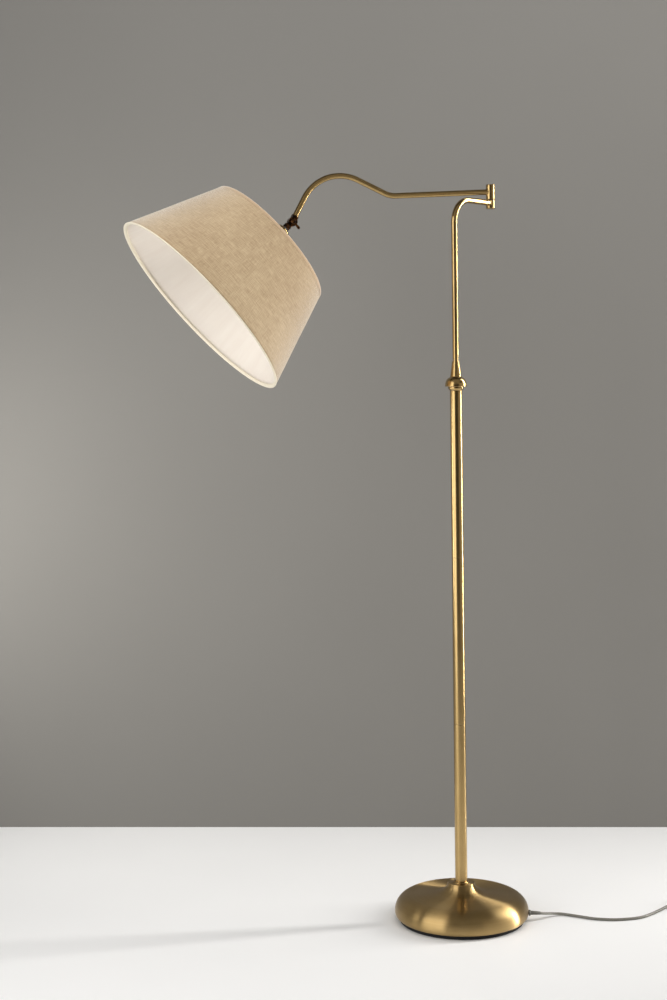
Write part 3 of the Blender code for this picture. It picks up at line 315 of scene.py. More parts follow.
def shell_side():
    """Outer section of the base, from its rim over the rounded edge to the flat neck."""
    side = []
    for i in range(13):
        quarter = math.pi / 2 * i / 12
        side.append(
            (
                RIM_R + (BASE_R - RIM_R) * math.sin(quarter),
                WIDEST_Z - (WIDEST_Z - RIM_Z) * math.cos(quarter),
            )
        )
    for i in range(1, 41):
        quarter = math.pi / 2 * i / 40
        out, rise = max(math.cos(quarter), 0) ** (2 / EDGE_POWER), math.sin(quarter) ** (2 / EDGE_POWER)
        side.append(
            (SHOULDER_R + (BASE_R - SHOULDER_R) * out, WIDEST_Z + (SHOULDER_Z - WIDEST_Z) * rise)
        )
    for i in range(13):
        quarter = math.pi / 2 * i / 12
        side.append(
            (
                NECK_FOOT_R - (NECK_FOOT_R - NECK_R) * math.sin(quarter),
                NECK_Z - (NECK_Z - NECK_FOOT_Z) * math.cos(quarter),
            )
        )
    return side


def cut_away(piece, tool, operation="DIFFERENCE"):
    """Cuts `tool` out of the piece, or joins it on, and removes the tool."""
    change = piece.modifiers.new("cut", "BOOLEAN")
    change.operation, change.object, change.solver = operation, tool, "EXACT"
    bpy.context.view_layer.update()
    done = bpy.data.meshes.new_from_object(piece.evaluated_get(bpy.context.evaluated_depsgraph_get()))
    piece.modifiers.clear()
    piece.data = done
    bpy.data.objects.remove(tool)
    return piece


def lay(at, axis):
    """Matrix that stands a turned piece on `at` with its own +Z along `axis`."""
    return Matrix.Translation(at) @ UP.rotation_difference(Vector(axis)).to_matrix().to_4x4()


# Lacquered brass plate, brushed in circles with a medium wheel: grooves about 0.5 mm apart, drawn
# a little coarser than real. The grooves pull each reflection out into a streak across them.
spun_brass, tree, shader = new_finish(
    "spun_brushed_brass",
    "B79D6C",
    {"Metallic": 1.0, "Roughness": 0.4, "Anisotropic": 1.0, "Anisotropic Rotation": 0.25},
)
place = add_node(tree, "ShaderNodeTexCoord").outputs["Object"]
flat = add_node(tree, "ShaderNodeVectorMath", {0: place, 1: (1.0, 1.0, 0.0)}, operation="MULTIPLY")
reach = add_node(tree, "ShaderNodeVectorMath", {0: flat.outputs["Vector"]}, operation="LENGTH")
height = add_node(tree, "ShaderNodeSeparateXYZ", {"Vector": place}).outputs["Z"]
grooves_at = add_node(tree, "ShaderNodeCombineXYZ", {"X": reach.outputs["Value"], "Y": height})
grooves = add_node(
    tree,
    "ShaderNodeTexNoise",
    {"Vector": grooves_at.outputs["Vector"], "Scale": 900.0, "Detail": 3.0, "Roughness": 0.7},
)
clouds = add_node(tree, "ShaderNodeTexNoise", {"Vector": place, "Scale": 22.0, "Detail": 2.0})
tone = add_node(
    tree,
    "ShaderNodeMix",
    {"Factor": 0.35, "A": grooves.outputs["Fac"], "B": clouds.outputs["Fac"]},
)
two_tones(tree, shader, tone.outputs["Result"], "9A7C48", "C8AE7E")
spread_value(tree, grooves.outputs["Fac"], 0.29, 0.4, shader.inputs["Roughness"])
raise_grain(tree, shader, grooves.outputs["Fac"], 0.00004)
tree.links.new(
    add_node(tree, "ShaderNodeTangent", direction_type="RADIAL", axis="Z").outputs["Tangent"],
    shader.inputs["Tangent"],
)

outer = blend_corners(even_out(shell_side(), 0.0015), 12)
inner = []
for before, here, after in zip(outer, outer[1:], outer[2:]):
    along = (after - before).normalized()
    inner.append((here.x - along.y * SHELL_WALL, here.y + along.x * SHELL_WALL))
section = (
    [tuple(p) for p in outer]
    + [(NECK_R - 0.0006, NECK_Z + 0.0001), (PIPE_HOLE_R, NECK_Z + 0.0001)]
    + [(PIPE_HOLE_R, NECK_Z - SHELL_WALL), (inner[-1][0], NECK_Z - SHELL_WALL)]
    + inner[::-1]
    + [(RIM_R - SHELL_WALL, RIM_Z)]
)
shell = turn("base_cover", section, spun_brass, 192)
CORD_HOLE_R, CORD_HOLE_REACH = 0.0048, 0.01
cord_hole_place = lay(CORD_OUT * BASE_R + UP * CORD_Z, CORD_OUT)
cord_hole_shape = solid(CORD_HOLE_R, -CORD_HOLE_REACH, CORD_HOLE_REACH, 0)
cord_hole = turn("cord_hole", cord_hole_shape, spun_brass, 48, cord_hole_place)
cut_away(shell, cord_hole)
fit(shell, "stand", "brushed_brass", "base_shell")

# ---------------------------------------------------------------- pole
# Three lengths of one-inch brass-plated steel tube, screwed end to end on hidden couplers, so that
# only two hair lines show. A small stepped ring trims its foot.
POLE_R, POLE_WALL = 0.0127, 0.0012
TUBE_EDGE = 0.0004


def brass_finish(name, grain):
    """Satin brass plate under clear lacquer; `grain` stretches the brush lines on `own`."""
    brass, tree, shader = new_finish(
        name,
        "BBA06A",
        {"Metallic": 1.0, "Roughness": 0.24, "Coat Weight": 0.15, "Coat Roughness": 0.12},
    )
    own = add_node(tree, "ShaderNodeAttribute", attribute_name="own").outputs["Vector"]
    drawn = add_node(tree, "ShaderNodeMapping", {"Vector": own, "Scale": grain})
    lines = add_node(
        tree,
        "ShaderNodeTexNoise",
        {"Vector": drawn.outputs["Vector"], "Scale": 1.0, "Detail": 3.0, "Roughness": 0.65},
    )
    patches = add_node(tree, "ShaderNodeTexNoise", {"Vector": own, "Scale": 30.0, "Detail": 2.0})
    tone = add_node(
        tree, "ShaderNodeMix", {"Factor": 0.4, "A": lines.outputs["Fac"], "B": patches.outputs["Fac"]}
    )
    two_tones(tree, shader, tone.outputs["Result"], "9C7E48", "C9AE7C")
    spread_value(tree, lines.outputs["Fac"], 0.18, 0.29, shader.inputs["Roughness"])
    raise_grain(tree, shader, lines.outputs["Fac"], 0.00002)
    return brass


# Tubes are brushed along their length: lines about 0.6 mm apart and 40 mm long.
tube_brass = brass_finish("satin_brass_tube", (1600.0, 1600.0, 25.0))
# Turned pieces are polished on the lathe: faint rings about 0.8 mm apart.
turned_brass = brass_finish("satin_brass_turned", (40.0, 40.0, 1300.0))

ring_low, ring_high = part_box("pole_foot_ring")
foot = [
    (POLE_R + 0.0002, ring_low.z),
    (ring_high.x, ring_low.z),
    (ring_high.x, ring_low.z + 0.0014),
    (POLE_R + 0.0024, ring_high.z),
    (POLE_R + 0.0002, ring_high.z),
]
fit(turn("foot_ring", soften(foot, 0.0005, True), turned_brass), "stand", "satin_brass", "pole_foot_ring")

for part in ("lower", "middle", "upper"):
    low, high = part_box(f"pole_{part}")
    tube = turn(
        f"tube_{part}", bare(POLE_R - POLE_WALL, POLE_R, low.z, high.z, TUBE_EDGE), tube_brass
    )
    fit(tube, "stand", "satin_brass", f"pole_{part}")

# ---------------------------------------------------------------- collar
# Turned brass: a chamfered ring, then a ball and cone in one piece, drilled for the pipe that joins
# pole and stem. The ball flows into the cone through a small cove; a dark groove ends the cone.
RING_R, BALL_R, CONE_R, CONE_TOP_R = 0.0165, 0.0228, 0.01225, 0.00725
ring_low, ring_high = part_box("collar_ring")
collar = [
    (PIPE_HOLE_R, ring_low.z),
    (POLE_R + 0.0003, ring_low.z),
    (RING_R, ring_low.z + 0.0042),
    (RING_R, ring_high.z),
    (PIPE_HOLE_R, ring_high.z),
]
fit(turn("collar_band", soften(collar, 0.0007, True), turned_brass), "stand", "satin_brass", "collar_ring")

body_low, body_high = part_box("collar_body")
BALL_H = 0.019
ball = []
for i in range(25):
    rise = math.pi / 2 * i / 24
    ball.append(
        (CONE_R + (BALL_R - CONE_R) * math.cos(rise), body_low.z + 0.0006 + (BALL_H - 0.0006) * math.sin(rise))
    )
cone_foot = body_low.z + BALL_H
for i in range(1, 25):
    up = i / 24
    hollow = 0.0002 * math.sin(math.pi * up)
    ball.append((CONE_R + (CONE_TOP_R - CONE_R) * up - hollow, cone_foot + (body_high.z - cone_foot) * up))
flow = blend_corners(even_out(ball, 0.0006), 14)[:-4]
section = (
    [(PIPE_HOLE_R, body_low.z), (BALL_R - 0.0007, body_low.z)]
    + [tuple(p) for p in flow]
    + [(0.0053, body_high.z - 0.0022), (0.0053, body_high.z + 0.0001), (PIPE_HOLE_R, body_high.z + 0.0001)]
)
fit(turn("collar_cone", section, turned_brass), "stand", "satin_brass", "collar_body")

# ---------------------------------------------------------------- cranked stem
# Half-inch brass-plated tube, bent once over a former and brazed to the lower half of the hinge:
# its end is coped to the barrel and a thin bead of braze runs round the joint.
STEM_R, TUBE_WALL = 0.00635, 0.001
STEM_RISE, STEM_BEND_R = 0.3351, 0.050
STEM_Z = body_high.z + 0.0003 + STEM_RISE
HINGE_REACH, HINGE_YAW = 0.1235, math.radians(29.4)
HINGE = Vector((HINGE_REACH * math.cos(HINGE_YAW), HINGE_REACH * math.sin(HINGE_YAW), 0))
BARREL_R = 0.0094


def bend_path(corners, radii, step=math.radians(2)):
    """Points along straight runs whose inner corners are rounded by true arcs."""
    points = [corners[0]]
    for before, corner, after, radius in zip(corners, corners[1:], corners[2:], radii):
        into, away = (corner - before).normalized(), (after - corner).normalized()
        bend = into.angle(away)
        start = corner - into * radius * math.tan(bend / 2)
        side = (away - into * away.dot(into)).normalized()
        count = max(3, round(bend / step))
        for i in range(count + 1):
            angle = bend * i / count
            ahead, aside = radius * math.sin(angle), radius * (1 - math.cos(angle))
            points.append(start + into * ahead + side * aside)
    points.append(corners[-1])
    return points


def cope(point, along, post, radius):
    """Where a line through `point` first meets an upright round post, coming along `along`."""
    gap = Vector((point.x - post.x, point.y - post.y))
    run = Vector((along.x, along.y))
    a, b, c = run.dot(run), gap.dot(run), gap.dot(gap) - radius * radius
    root = math.sqrt(max(b * b - a * c, 0))
    return point + along * ((-b - root) / a)


def sweep(name, path, radii, finish, post=None, sides=48):
    """A bent tube of (outer, inner) radii. The end at `post`, (axis, radius), is coped to it."""
    first = (path[1] - path[0]).normalized()
    flat = first.cross((path[-1] - path[0]).normalized()).normalized()
    gone = [0.0]
    for before, after in zip(path, path[1:]):
        gone.append(gone[-1] + (after - before).length)
    points, own, rings = [], [], []
    for radius in radii:
        for i, point in enumerate(path):
            here = (path[min(i + 1, len(path) - 1)] - path[max(i - 1, 0)]).normalized()
            side = flat.cross(here)
            rings.append([len(points) + k for k in range(sides)])
            for k in range(sides):
                angle = 2 * math.pi * k / sides
                out = side * math.cos(angle) + flat * math.sin(angle)
                spot = point + out * radius
                if post and i == len(path) - 1:
                    spot = cope(spot - here * 4 * radii[0], here, *post)
                points.append(spot)
                own.append((radius * math.cos(angle), radius * math.sin(angle), gone[i]))
    count, faces = len(path), []
    pairs = [(rings[i], rings[i + 1]) for i in range(count - 1)]
    pairs += [(rings[count + i + 1], rings[count + i]) for i in range(count - 1)]
    pairs += [(rings[count], rings[0]), (rings[count - 1], rings[-1])]
    for low, high in pairs:
        for k in range(sides):
            j = (k + 1) % sides
            faces.append((low[k], low[j], high[j], high[k]))
    return make_piece(name, points, faces, own, finish)


def braze(name, middle, along, tube_r, post, finish, bead=0.0011, sides=64):
    """The bead of braze where a round tube meets an upright post: a small tube round the joint."""
    flat = along.cross(UP).normalized()
    side = flat.cross(along)
    joint = []
    for i in range(sides):
        angle = 2 * math.pi * i / sides
        out = side * math.cos(angle) + flat * math.sin(angle)
        joint.append((cope(middle + out * tube_r - along * 4 * tube_r, along, *post), out))
    points, faces, ring = [], [], 10
    for spot, out in joint:
        for k in range(ring):
            angle = 2 * math.pi * k / ring
            points.append(spot + (out * math.cos(angle) - along * math.sin(angle)) * bead)
    for i in range(sides):
        for k in range(ring):
            a, b = i * ring + k, i * ring + (k + 1) % ring
            c, d = ((i + 1) % sides) * ring + (k + 1) % ring, ((i + 1) % sides) * ring + k
            faces.append((a, b, c, d))
    return make_piece(name, points, faces, points, finish)


stem_path = bend_path([UP * (STEM_Z - STEM_RISE), UP * STEM_Z, HINGE + UP * STEM_Z], [STEM_BEND_R])
stem = sweep("stem_tube", stem_path, (STEM_R, STEM_R - TUBE_WALL), tube_brass, (HINGE, BARREL_R))
fit(stem, "stand", "satin_brass", "lower_arm")
fit(
    braze("stem_braze", HINGE + UP * STEM_Z, HINGE.normalized(), STEM_R, (HINGE, BARREL_R), turned_brass),
    "stand",
    "satin_brass",
)

# ---------------------------------------------------------------- swing hinge
# Two short turned barrels on one steel spindle, with a black washer between them to set the drag.
# Each is closed by a pressed brass cap. The arm swings on the upper half.
hinge_place = Matrix.Translation(HINGE)
for name, node, body in (
    ("hinge_lower", "lower_barrel", "stand"),
    ("hinge_upper", "upper_barrel", "arm"),
):
    low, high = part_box(node)
    barrel = turn(name, bare(0.0061, BARREL_R, low.z, high.z, 0.0004), turned_brass, 96, hinge_place)
    fit(barrel, body, "satin_brass", node)

low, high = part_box("hinge_bottom_cap")
dish = [(0, low.z), (BARREL_R - 0.0004, low.z), (BARREL_R, low.z + 0.0005), (BARREL_R, high.z), (0, high.z)]
fit(
    turn("hinge_cap_low", soften(dish, 0.0003), turned_brass, 96, hinge_place),
    "stand",
    "satin_brass",
    "hinge_bottom_cap",
)
low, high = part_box("hinge_top_cap")
crown = [(0, low.z), (BARREL_R, low.z), (BARREL_R, high.z - 0.0006), (BARREL_R - 0.0009, high.z), (0, high.z)]
fit(
    turn("hinge_cap_top", soften(crown, 0.0003), turned_brass, 96, hinge_place),
    "arm",
    "satin_brass",
    "hinge_top_cap",
)

# Black phenolic, compression moulded: hard, glossy and faintly mottled by its wood-flour filler.
phenolic, tree, shader = new_finish("moulded_black_phenolic", "1A1816", {"Roughness": 0.32, "IOR": 1.58})
place = add_node(tree, "ShaderNodeTexCoord").outputs["Object"]
flour = add_node(tree, "ShaderNodeTexNoise", {"Vector": place, "Scale": 1500.0, "Detail": 3.0})
two_tones(tree, shader, flour.outputs["Fac"], "12100F", "26221E")
spread_value(tree, flour.outputs["Fac"], 0.26, 0.4, shader.inputs["Roughness"])
raise_grain(tree, shader, flour.outputs["Fac"], 0.00003)
low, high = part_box("hinge_washer")
washer = turn("drag_washer", bare(0.0061, BARREL_R - 0.0007, low.z, high.z, 0.0002), phenolic, 96, hinge_place)
fit(washer, "stand", "black_phenolic", "hinge_washer")

# ---------------------------------------------------------------- gooseneck arm
# Brass-plated tube, brazed to the upper barrel: a long slightly drooping run, then a dip, a crest
# and a fall, all bent cold in one upright plane.
ARM_R = 0.006
ARM_ROOT = HINGE + UP * (STEM_Z + 0.0237)
OUT = Vector((-1, 0, 0))


def heading(degrees):
    """Unit vector in the arm's plane, that many degrees above the level."""
    angle = math.radians(degrees)
    return OUT * math.cos(angle) + UP * math.sin(angle)


ARM_DIP = ARM_ROOT + heading(-3.7) * 0.2273
ARM_CREST = ARM_DIP + heading(24) * 0.1607
KNUCKLE = ARM_CREST + heading(-62) * 0.1404
FORK_LENGTH = 0.0138
arm_end = KNUCKLE - heading(-62) * (FORK_LENGTH + 0.0003)
arm_path = bend_path([ARM_ROOT, ARM_DIP, ARM_CREST, arm_end], [0.050, 0.090])[::-1]
arm = sweep("arm_gooseneck", arm_path, (ARM_R, ARM_R - TUBE_WALL), tube_brass, (HINGE, BARREL_R))
fit(arm, "arm", "satin_brass", "arm_tube")
fit(
    braze("arm_braze", ARM_ROOT, -heading(-3.7), ARM_R, (HINGE, BARREL_R), turned_brass),
    "arm",
    "satin_brass",
)

# ---------------------------------------------------------------- clamped swivel
# Cast and filed brass, chemically darkened to bronze: a fork on the arm, a tongue on the socket, and
# a clamp screw with one flat lever that locks the tilt against a small hexagonal nut.
ACROSS = Vector((0, 1, 0))
SHADE_TILT = 41.7
HEAD = heading(-SHADE_TILT)
ARM_BACK = -heading(-62)
KNUCKLE_R, KNUCKLE_HALF, TONGUE_HALF, NECK_HALF = 0.0095, 0.0075, 0.0029, 0.0062
COLLAR_R, CLAMP_R = 0.0078, 0.0021
TONGUE_LOW, TONGUE_HIGH = 0.0106, 0.0195
GAP = 0.0003

# Dark bronze patina over brass: nearly black in the hollows, rubbed through to orange-brown in
# blotches a few millimetres across, under wax.
bronze, tree, shader = new_finish(
    "patinated_dark_bronze",
    "4A2F1C",
    {"Metallic": 1.0, "Roughness": 0.3, "Coat Weight": 0.25, "Coat Roughness": 0.18},
)
place = add_node(tree, "ShaderNodeTexCoord").outputs["Object"]
rubbed = add_node(tree, "ShaderNodeTexNoise", {"Vector": place, "Scale": 170.0, "Detail": 4.0})
pitted = add_node(tree, "ShaderNodeTexNoise", {"Vector": place, "Scale": 1500.0, "Detail": 2.0})
patina = two_tones(tree, shader, rubbed.outputs["Fac"], "22140C", "A06A3A")
patina.color_ramp.elements[0].position = 0.42
patina.color_ramp.elements[1].position = 0.74
spread_value(tree, rubbed.outputs["Fac"], 0.42, 0.2, shader.inputs["Roughness"])
raise_grain(tree, shader, pitted.outputs["Fac"], 0.00006)


def in_swivel(direction):
    """Matrix that lays a plate in the swivel's plane with its own X along `direction`."""
    along = Vector(direction).normalized()
    turned = Matrix((along, ACROSS.cross(along), ACROSS)).transposed().to_4x4()
    return Matrix.Translation(KNUCKLE) @ turned


def slab(name, outline, thickness, finish, place=None):
    """A flat outline of (x, y) pairs, raised half its thickness each way."""
    count = len(outline)
    points = [(x, y, -thickness / 2) for x, y in outline] + [(x, y, thickness / 2) for x, y in outline]
    faces = [tuple(range(count))[::-1], tuple(range(count, 2 * count))]
    for i in range(count):
        j = (i + 1) % count
        faces.append((i, j, count + j, count + i))
    return make_piece(name, points, faces, points, finish, place)


def eye(reach, half_width, steps=56):
    """Keyhole outline: an eye round the pin and a neck up to `reach`."""
    start = math.asin(half_width / KNUCKLE_R)
    outline = [(reach, half_width)]
    for i in range(steps + 1):
        angle = start + (2 * math.pi - 2 * start) * i / steps
        outline.append((KNUCKLE_R * math.cos(angle), KNUCKLE_R * math.sin(angle)))
    outline.append((reach, -half_width))
    return outline


def ease_edges(piece, width=0.0003, segments=3, angle=32):
    """Files a small round on every sharp edge, and makes the result a plain mesh."""
    change = piece.modifiers.new("edges", "BEVEL")
    change.width, change.segments, change.limit_method = width, segments, "ANGLE"
    change.angle_limit = math.radians(angle)
    change.use_clamp_overlap = True
    bpy.context.view_layer.update()
    done = bpy.data.meshes.new_from_object(piece.evaluated_get(bpy.context.evaluated_depsgraph_get()))
    piece.modifiers.clear()
    piece.data = done
    done.shade_smooth()
    done.set_sharp_from_angle(angle=math.radians(38))
    return piece


SLOT_R = KNUCKLE_R + 0.0006
fork_outline = eye(FORK_LENGTH - 0.0012, NECK_HALF)
fork = slab("swivel_yoke", fork_outline, 2 * KNUCKLE_HALF, bronze, in_swivel(ARM_BACK))
ferrule = [
    (0, SLOT_R + 0.0010),
    (COLLAR_R, SLOT_R + 0.0010),
    (COLLAR_R, FORK_LENGTH),
    (ARM_R - TUBE_WALL - GAP, FORK_LENGTH),
    (ARM_R - TUBE_WALL - GAP, FORK_LENGTH + 0.016),
    (0, FORK_LENGTH + 0.016),
]
cut_away(fork, turn("ferrule", ferrule, bronze, 64, lay(KNUCKLE, ARM_BACK)), "UNION")
gap_outline = [(-0.02, -0.02), (SLOT_R, -0.02), (SLOT_R, 0.02), (-0.02, 0.02)]
cut_away(fork, slab("gap", gap_outline, 2 * (TONGUE_HALF + GAP), bronze, in_swivel(ARM_BACK)))
cut_away(fork, turn("pin_hole", solid(CLAMP_R + GAP, -0.02, 0.02, 0), bronze, 40, lay(KNUCKLE, ACROSS)))
fit(ease_edges(fork), "arm", "dark_bronze", "swivel_fork")

tongue = slab("swivel_eye", eye(TONGUE_LOW + 0.002, NECK_HALF), 2 * TONGUE_HALF, bronze, in_swivel(HEAD))
socket_collar = [
    (0, TONGUE_LOW),
    (COLLAR_R - 0.0008, TONGUE_LOW),
    (COLLAR_R, TONGUE_LOW + 0.0008),
    (COLLAR_R, TONGUE_HIGH - 0.0008),
    (COLLAR_R - 0.0008, TONGUE_HIGH),
    (PIPE_HOLE_R, TONGUE_HIGH),
    (PIPE_HOLE_R, TONGUE_LOW + 0.0035),
    (0, TONGUE_LOW + 0.0035),
]
cut_away(tongue, turn("socket_collar", socket_collar, bronze, 64, lay(KNUCKLE, HEAD)), "UNION")
cut_away(tongue, turn("pin_hole", solid(CLAMP_R + GAP, -0.02, 0.02, 0), bronze, 40, lay(KNUCKLE, ACROSS)))
fit(ease_edges(tongue), "head", "dark_bronze", "swivel_tongue")

HUB_IN = KNUCKLE_HALF + GAP
HUB_R, LEVER_REACH, LEVER_TIP_R, LEVER_THICKNESS = 0.0046, 0.0195, 0.0030, 0.0022
screw = [
    (0, -KNUCKLE_HALF - 0.004),
    (CLAMP_R - 0.0004, -KNUCKLE_HALF - 0.004),
    (CLAMP_R, -KNUCKLE_HALF - 0.0036),
    (CLAMP_R, HUB_IN),
    (HUB_R, HUB_IN),
    (HUB_R, HUB_IN + 0.0034),
    (HUB_R - 0.0008, HUB_IN + 0.0042),
    (0, HUB_IN + 0.0042),
]
clamp = turn("clamp_wing", screw, bronze, 56, lay(KNUCKLE, -ACROSS))
wing = []
for i in range(17):
    angle = math.radians(-90 + 180 * i / 16)
    wing.append(
        (LEVER_REACH - LEVER_TIP_R + LEVER_TIP_R * math.cos(angle), LEVER_TIP_R * math.sin(angle))
    )
wing += [(0.009, 0.0020), (0.001, 0.0018), (0.001, -0.0018), (0.009, -0.0020)]
lever_way = Vector((math.cos(math.radians(51)), 0, -math.sin(math.radians(51))))
wing_place = Matrix.Translation(-ACROSS * (HUB_IN + 0.0024)) @ in_swivel(lever_way)
cut_away(clamp, slab("wing", wing, LEVER_THICKNESS, bronze, wing_place), "UNION")
fit(ease_edges(clamp, 0.00035), "clamp", "dark_bronze", "clamp_lever")

corner = 0.0085 / math.sqrt(3)
hexagon = [(corner * math.cos(math.pi / 3 * i), corner * math.sin(math.pi / 3 * i)) for i in range(6)]
nut = slab("swivel_lock_nut", hexagon, 0.003, bronze, lay(KNUCKLE + ACROSS * (HUB_IN + 0.0015), ACROSS))
cut_away(nut, turn("pin_hole", solid(CLAMP_R + GAP, -0.02, 0.02, 0), bronze, 40, lay(KNUCKLE, ACROSS)))
fit(ease_edges(nut, 0.00035), "arm", "dark_bronze", "swivel_nut")

# ---------------------------------------------------------------- lamp holder
# A pressed brass cap over a moulded phenolic shell, whose outer thread takes the ring that clamps
# the shade. Inside sit a glazed porcelain insulator, the screw shell and a sprung contact.
SOCKET_R, SOCKET_WALL = 0.0168, 0.0009
CAP_START, SOCKET_SPLIT, SOCKET_END = 0.0225, 0.0404, 0.0795
on_head = lay(KNUCKLE, HEAD)

cap_out = [
    (SOCKET_R - 0.0076, CAP_START),
    (SOCKET_R - 0.0033, CAP_START + 0.0012),
    (SOCKET_R - 0.0008, CAP_START + 0.0036),
    (SOCKET_R, CAP_START + 0.007),
    (SOCKET_R, SOCKET_SPLIT - 0.0036),
    (SOCKET_R + 0.0006, SOCKET_SPLIT - 0.0030),
    (SOCKET_R + 0.0006, SOCKET_SPLIT - 0.0014),
    (SOCKET_R, SOCKET_SPLIT - 0.0008),
    (SOCKET_R, SOCKET_SPLIT - GAP),
]
cap_in = [(SOCKET_R - SOCKET_WALL, SOCKET_SPLIT - GAP), (SOCKET_R - SOCKET_WALL, CAP_START + 0.008)]
cap_in += [(radius - SOCKET_WALL, height + SOCKET_WALL) for radius, height in cap_out[2::-1]]
section = [(PIPE_HOLE_R, CAP_START)] + cap_out + cap_in + [(PIPE_HOLE_R, CAP_START + SOCKET_WALL)]
cap = turn("holder_cap", soften(section, 0.0006, True), turned_brass, 96, on_head)
fit(cap, "head", "satin_brass", "socket_cap")

THREAD_PITCH, THREAD_RISE = 0.0025, 0.00032
holder = [
    (SOCKET_R - SOCKET_WALL, SOCKET_END),
    (SOCKET_R - SOCKET_WALL, SOCKET_SPLIT),
    (SOCKET_R - 0.0001, SOCKET_SPLIT),
]
for i in range(127):
    up = SOCKET_SPLIT + 0.0006 + (SOCKET_END - SOCKET_SPLIT - 0.0012) * i / 126
    threaded = min(1, max(0, (up - 0.0655) / 0.001))
    wave = 0.5 - 0.5 * math.cos(2 * math.pi * up / THREAD_PITCH)
    holder.append((SOCKET_R - threaded * THREAD_RISE * (1 - wave), up))
holder.append((SOCKET_R - 0.0003, SOCKET_END))
shell_piece = turn("holder_shell", holder, phenolic, 96, on_head)
SWITCH_AT = 0.0560
switch_place = KNUCKLE + HEAD * SWITCH_AT
switch_hole = turn("switch_hole", solid(0.0018, 0.0150, 0.0255, 0), phenolic, 40, lay(switch_place, -ACROSS))
cut_away(shell_piece, switch_hole)
fit(shell_piece, "head", "black_phenolic", "socket_shell")

# Glazed porcelain: cream white, glassy, with a trace of unevenness in the glaze.
porcelain, tree, shader = new_finish(
    "glazed_porcelain", "E9E3D6", {"Roughness": 0.14, "Coat Weight": 0.4, "Coat Roughness": 0.06}
)
place = add_node(tree, "ShaderNodeTexCoord").outputs["Object"]
glaze = add_node(tree, "ShaderNodeTexNoise", {"Vector": place, "Scale": 160.0, "Detail": 2.0})
two_tones(tree, shader, glaze.outputs["Fac"], "DDD5C4", "F1ECE1")
spread_value(tree, glaze.outputs["Fac"], 0.1, 0.22, shader.inputs["Roughness"])
raise_grain(tree, shader, glaze.outputs["Fac"], 0.0001, 0.4)
INSULATOR_R, INSULATOR_LOW, CONTACT_R = 0.0155, 0.0495, 0.0042
insulator = [
    (CONTACT_R + GAP, INSULATOR_LOW),
    (INSULATOR_R, INSULATOR_LOW),
    (INSULATOR_R, SOCKET_END - 0.001),
    (INSULATOR_R - 0.001, SOCKET_END - 0.001),
    (INSULATOR_R - 0.001, INSULATOR_LOW + 0.003),
    (CONTACT_R + GAP, INSULATOR_LOW + 0.003),
]
fit(
    turn("porcelain_liner", soften(insulator, 0.0004, True), porcelain, 96, on_head),
    "head",
    "porcelain",
    "socket_insulator",
)
screw_shell = bare(0.0136, 0.0141, INSULATOR_LOW + 0.0033, SOCKET_END - 0.002, 0.0001)
fit(turn("screw_shell", screw_shell, turned_brass, 96, on_head), "head", "satin_brass", "socket_screw_shell")
contact = solid(CONTACT_R, INSULATOR_LOW, 0.0597, 0.0005)
fit(turn("centre_contact", contact, turned_brass, 48, on_head), "head", "satin_brass", "socket_contact")

# rotary switch: a brass shaft and an oval key with grip ribs on both faces
shaft = solid(0.0015, 0.0158, 0.0335, 0.0002)
fit(
    turn("switch_spindle", shaft, turned_brass, 40, lay(switch_place, -ACROSS)),
    "switch",
    "satin_brass",
    "switch_shaft",
)
KNOB_LENGTH, KNOB_WIDE, KNOB_DEEP = 0.013, 0.0062, 0.0036
oval = []
for i in range(64):
    angle = 2 * math.pi * i / 64
    ribs = 0.00022 * (0.5 + 0.5 * math.cos(24 * angle))
    oval.append(((KNOB_WIDE - ribs) * math.cos(angle), (KNOB_DEEP - ribs) * math.sin(angle)))
knob_at = switch_place - ACROSS * (0.0255 + KNOB_LENGTH / 2)
knob = slab("switch_key", oval, KNOB_LENGTH, phenolic, lay(knob_at, -ACROSS))
cut_away(knob, turn("shaft_hole", solid(0.0018, 0.0235, 0.0338, 0), phenolic, 40, lay(switch_place, -ACROSS)))
fit(ease_edges(knob, 0.0006, 3, 60), "switch", "black_phenolic", "switch_knob")

# ---------------------------------------------------------------- bulb
# An ordinary pear-shaped lamp, switched off: a rolled zinc-white screw base, drawn without the black
# glass heel that a real one has, and a blown bulb coated white inside so that it looks like milk glass.
BULB_BASE_R, BULB_BASE_LOW, BULB_NECK_LOW = 0.0131, 0.0600, 0.0815
BULB_R, BULB_CENTRE, BULB_WALL = 0.030, 0.1480, 0.0008
base_section = [(0, BULB_BASE_LOW), (0.0040, BULB_BASE_LOW), (0.0050, BULB_BASE_LOW + 0.0008)]
base_section += [(0.0118, BULB_BASE_LOW + 0.0046)]
for i in range(73):
    up = BULB_BASE_LOW + 0.0055 + (BULB_NECK_LOW - GAP - 0.0015 - BULB_BASE_LOW - 0.0055) * i / 72
    wave = 0.5 - 0.5 * math.cos(2 * math.pi * up / 0.0036)
    base_section.append((BULB_BASE_R - 0.0007 * wave, up))
base_section += [(BULB_BASE_R, BULB_NECK_LOW - GAP), (0, BULB_NECK_LOW - GAP)]
fit(turn("bulb_cap", base_section, zinc, 96, on_head), "head", "zinc_steel", "bulb_base")

# Opal-coated soda glass: white all through, with a smooth glossy skin over it.
opal, tree, shader = new_finish(
    "opal_coated_glass",
    "EFEBE2",
    {"Roughness": 0.22, "Coat Weight": 0.6, "Coat Roughness": 0.05, "Subsurface Weight": 0.15},
)
own = add_node(tree, "ShaderNodeAttribute", attribute_name="own").outputs["Vector"]
coating = add_node(tree, "ShaderNodeTexNoise", {"Vector": own, "Scale": 90.0, "Detail": 2.0})
two_tones(tree, shader, coating.outputs["Fac"], "E7E2D7", "F4F1EA")
spread_value(tree, coating.outputs["Fac"], 0.18, 0.28, shader.inputs["Roughness"])


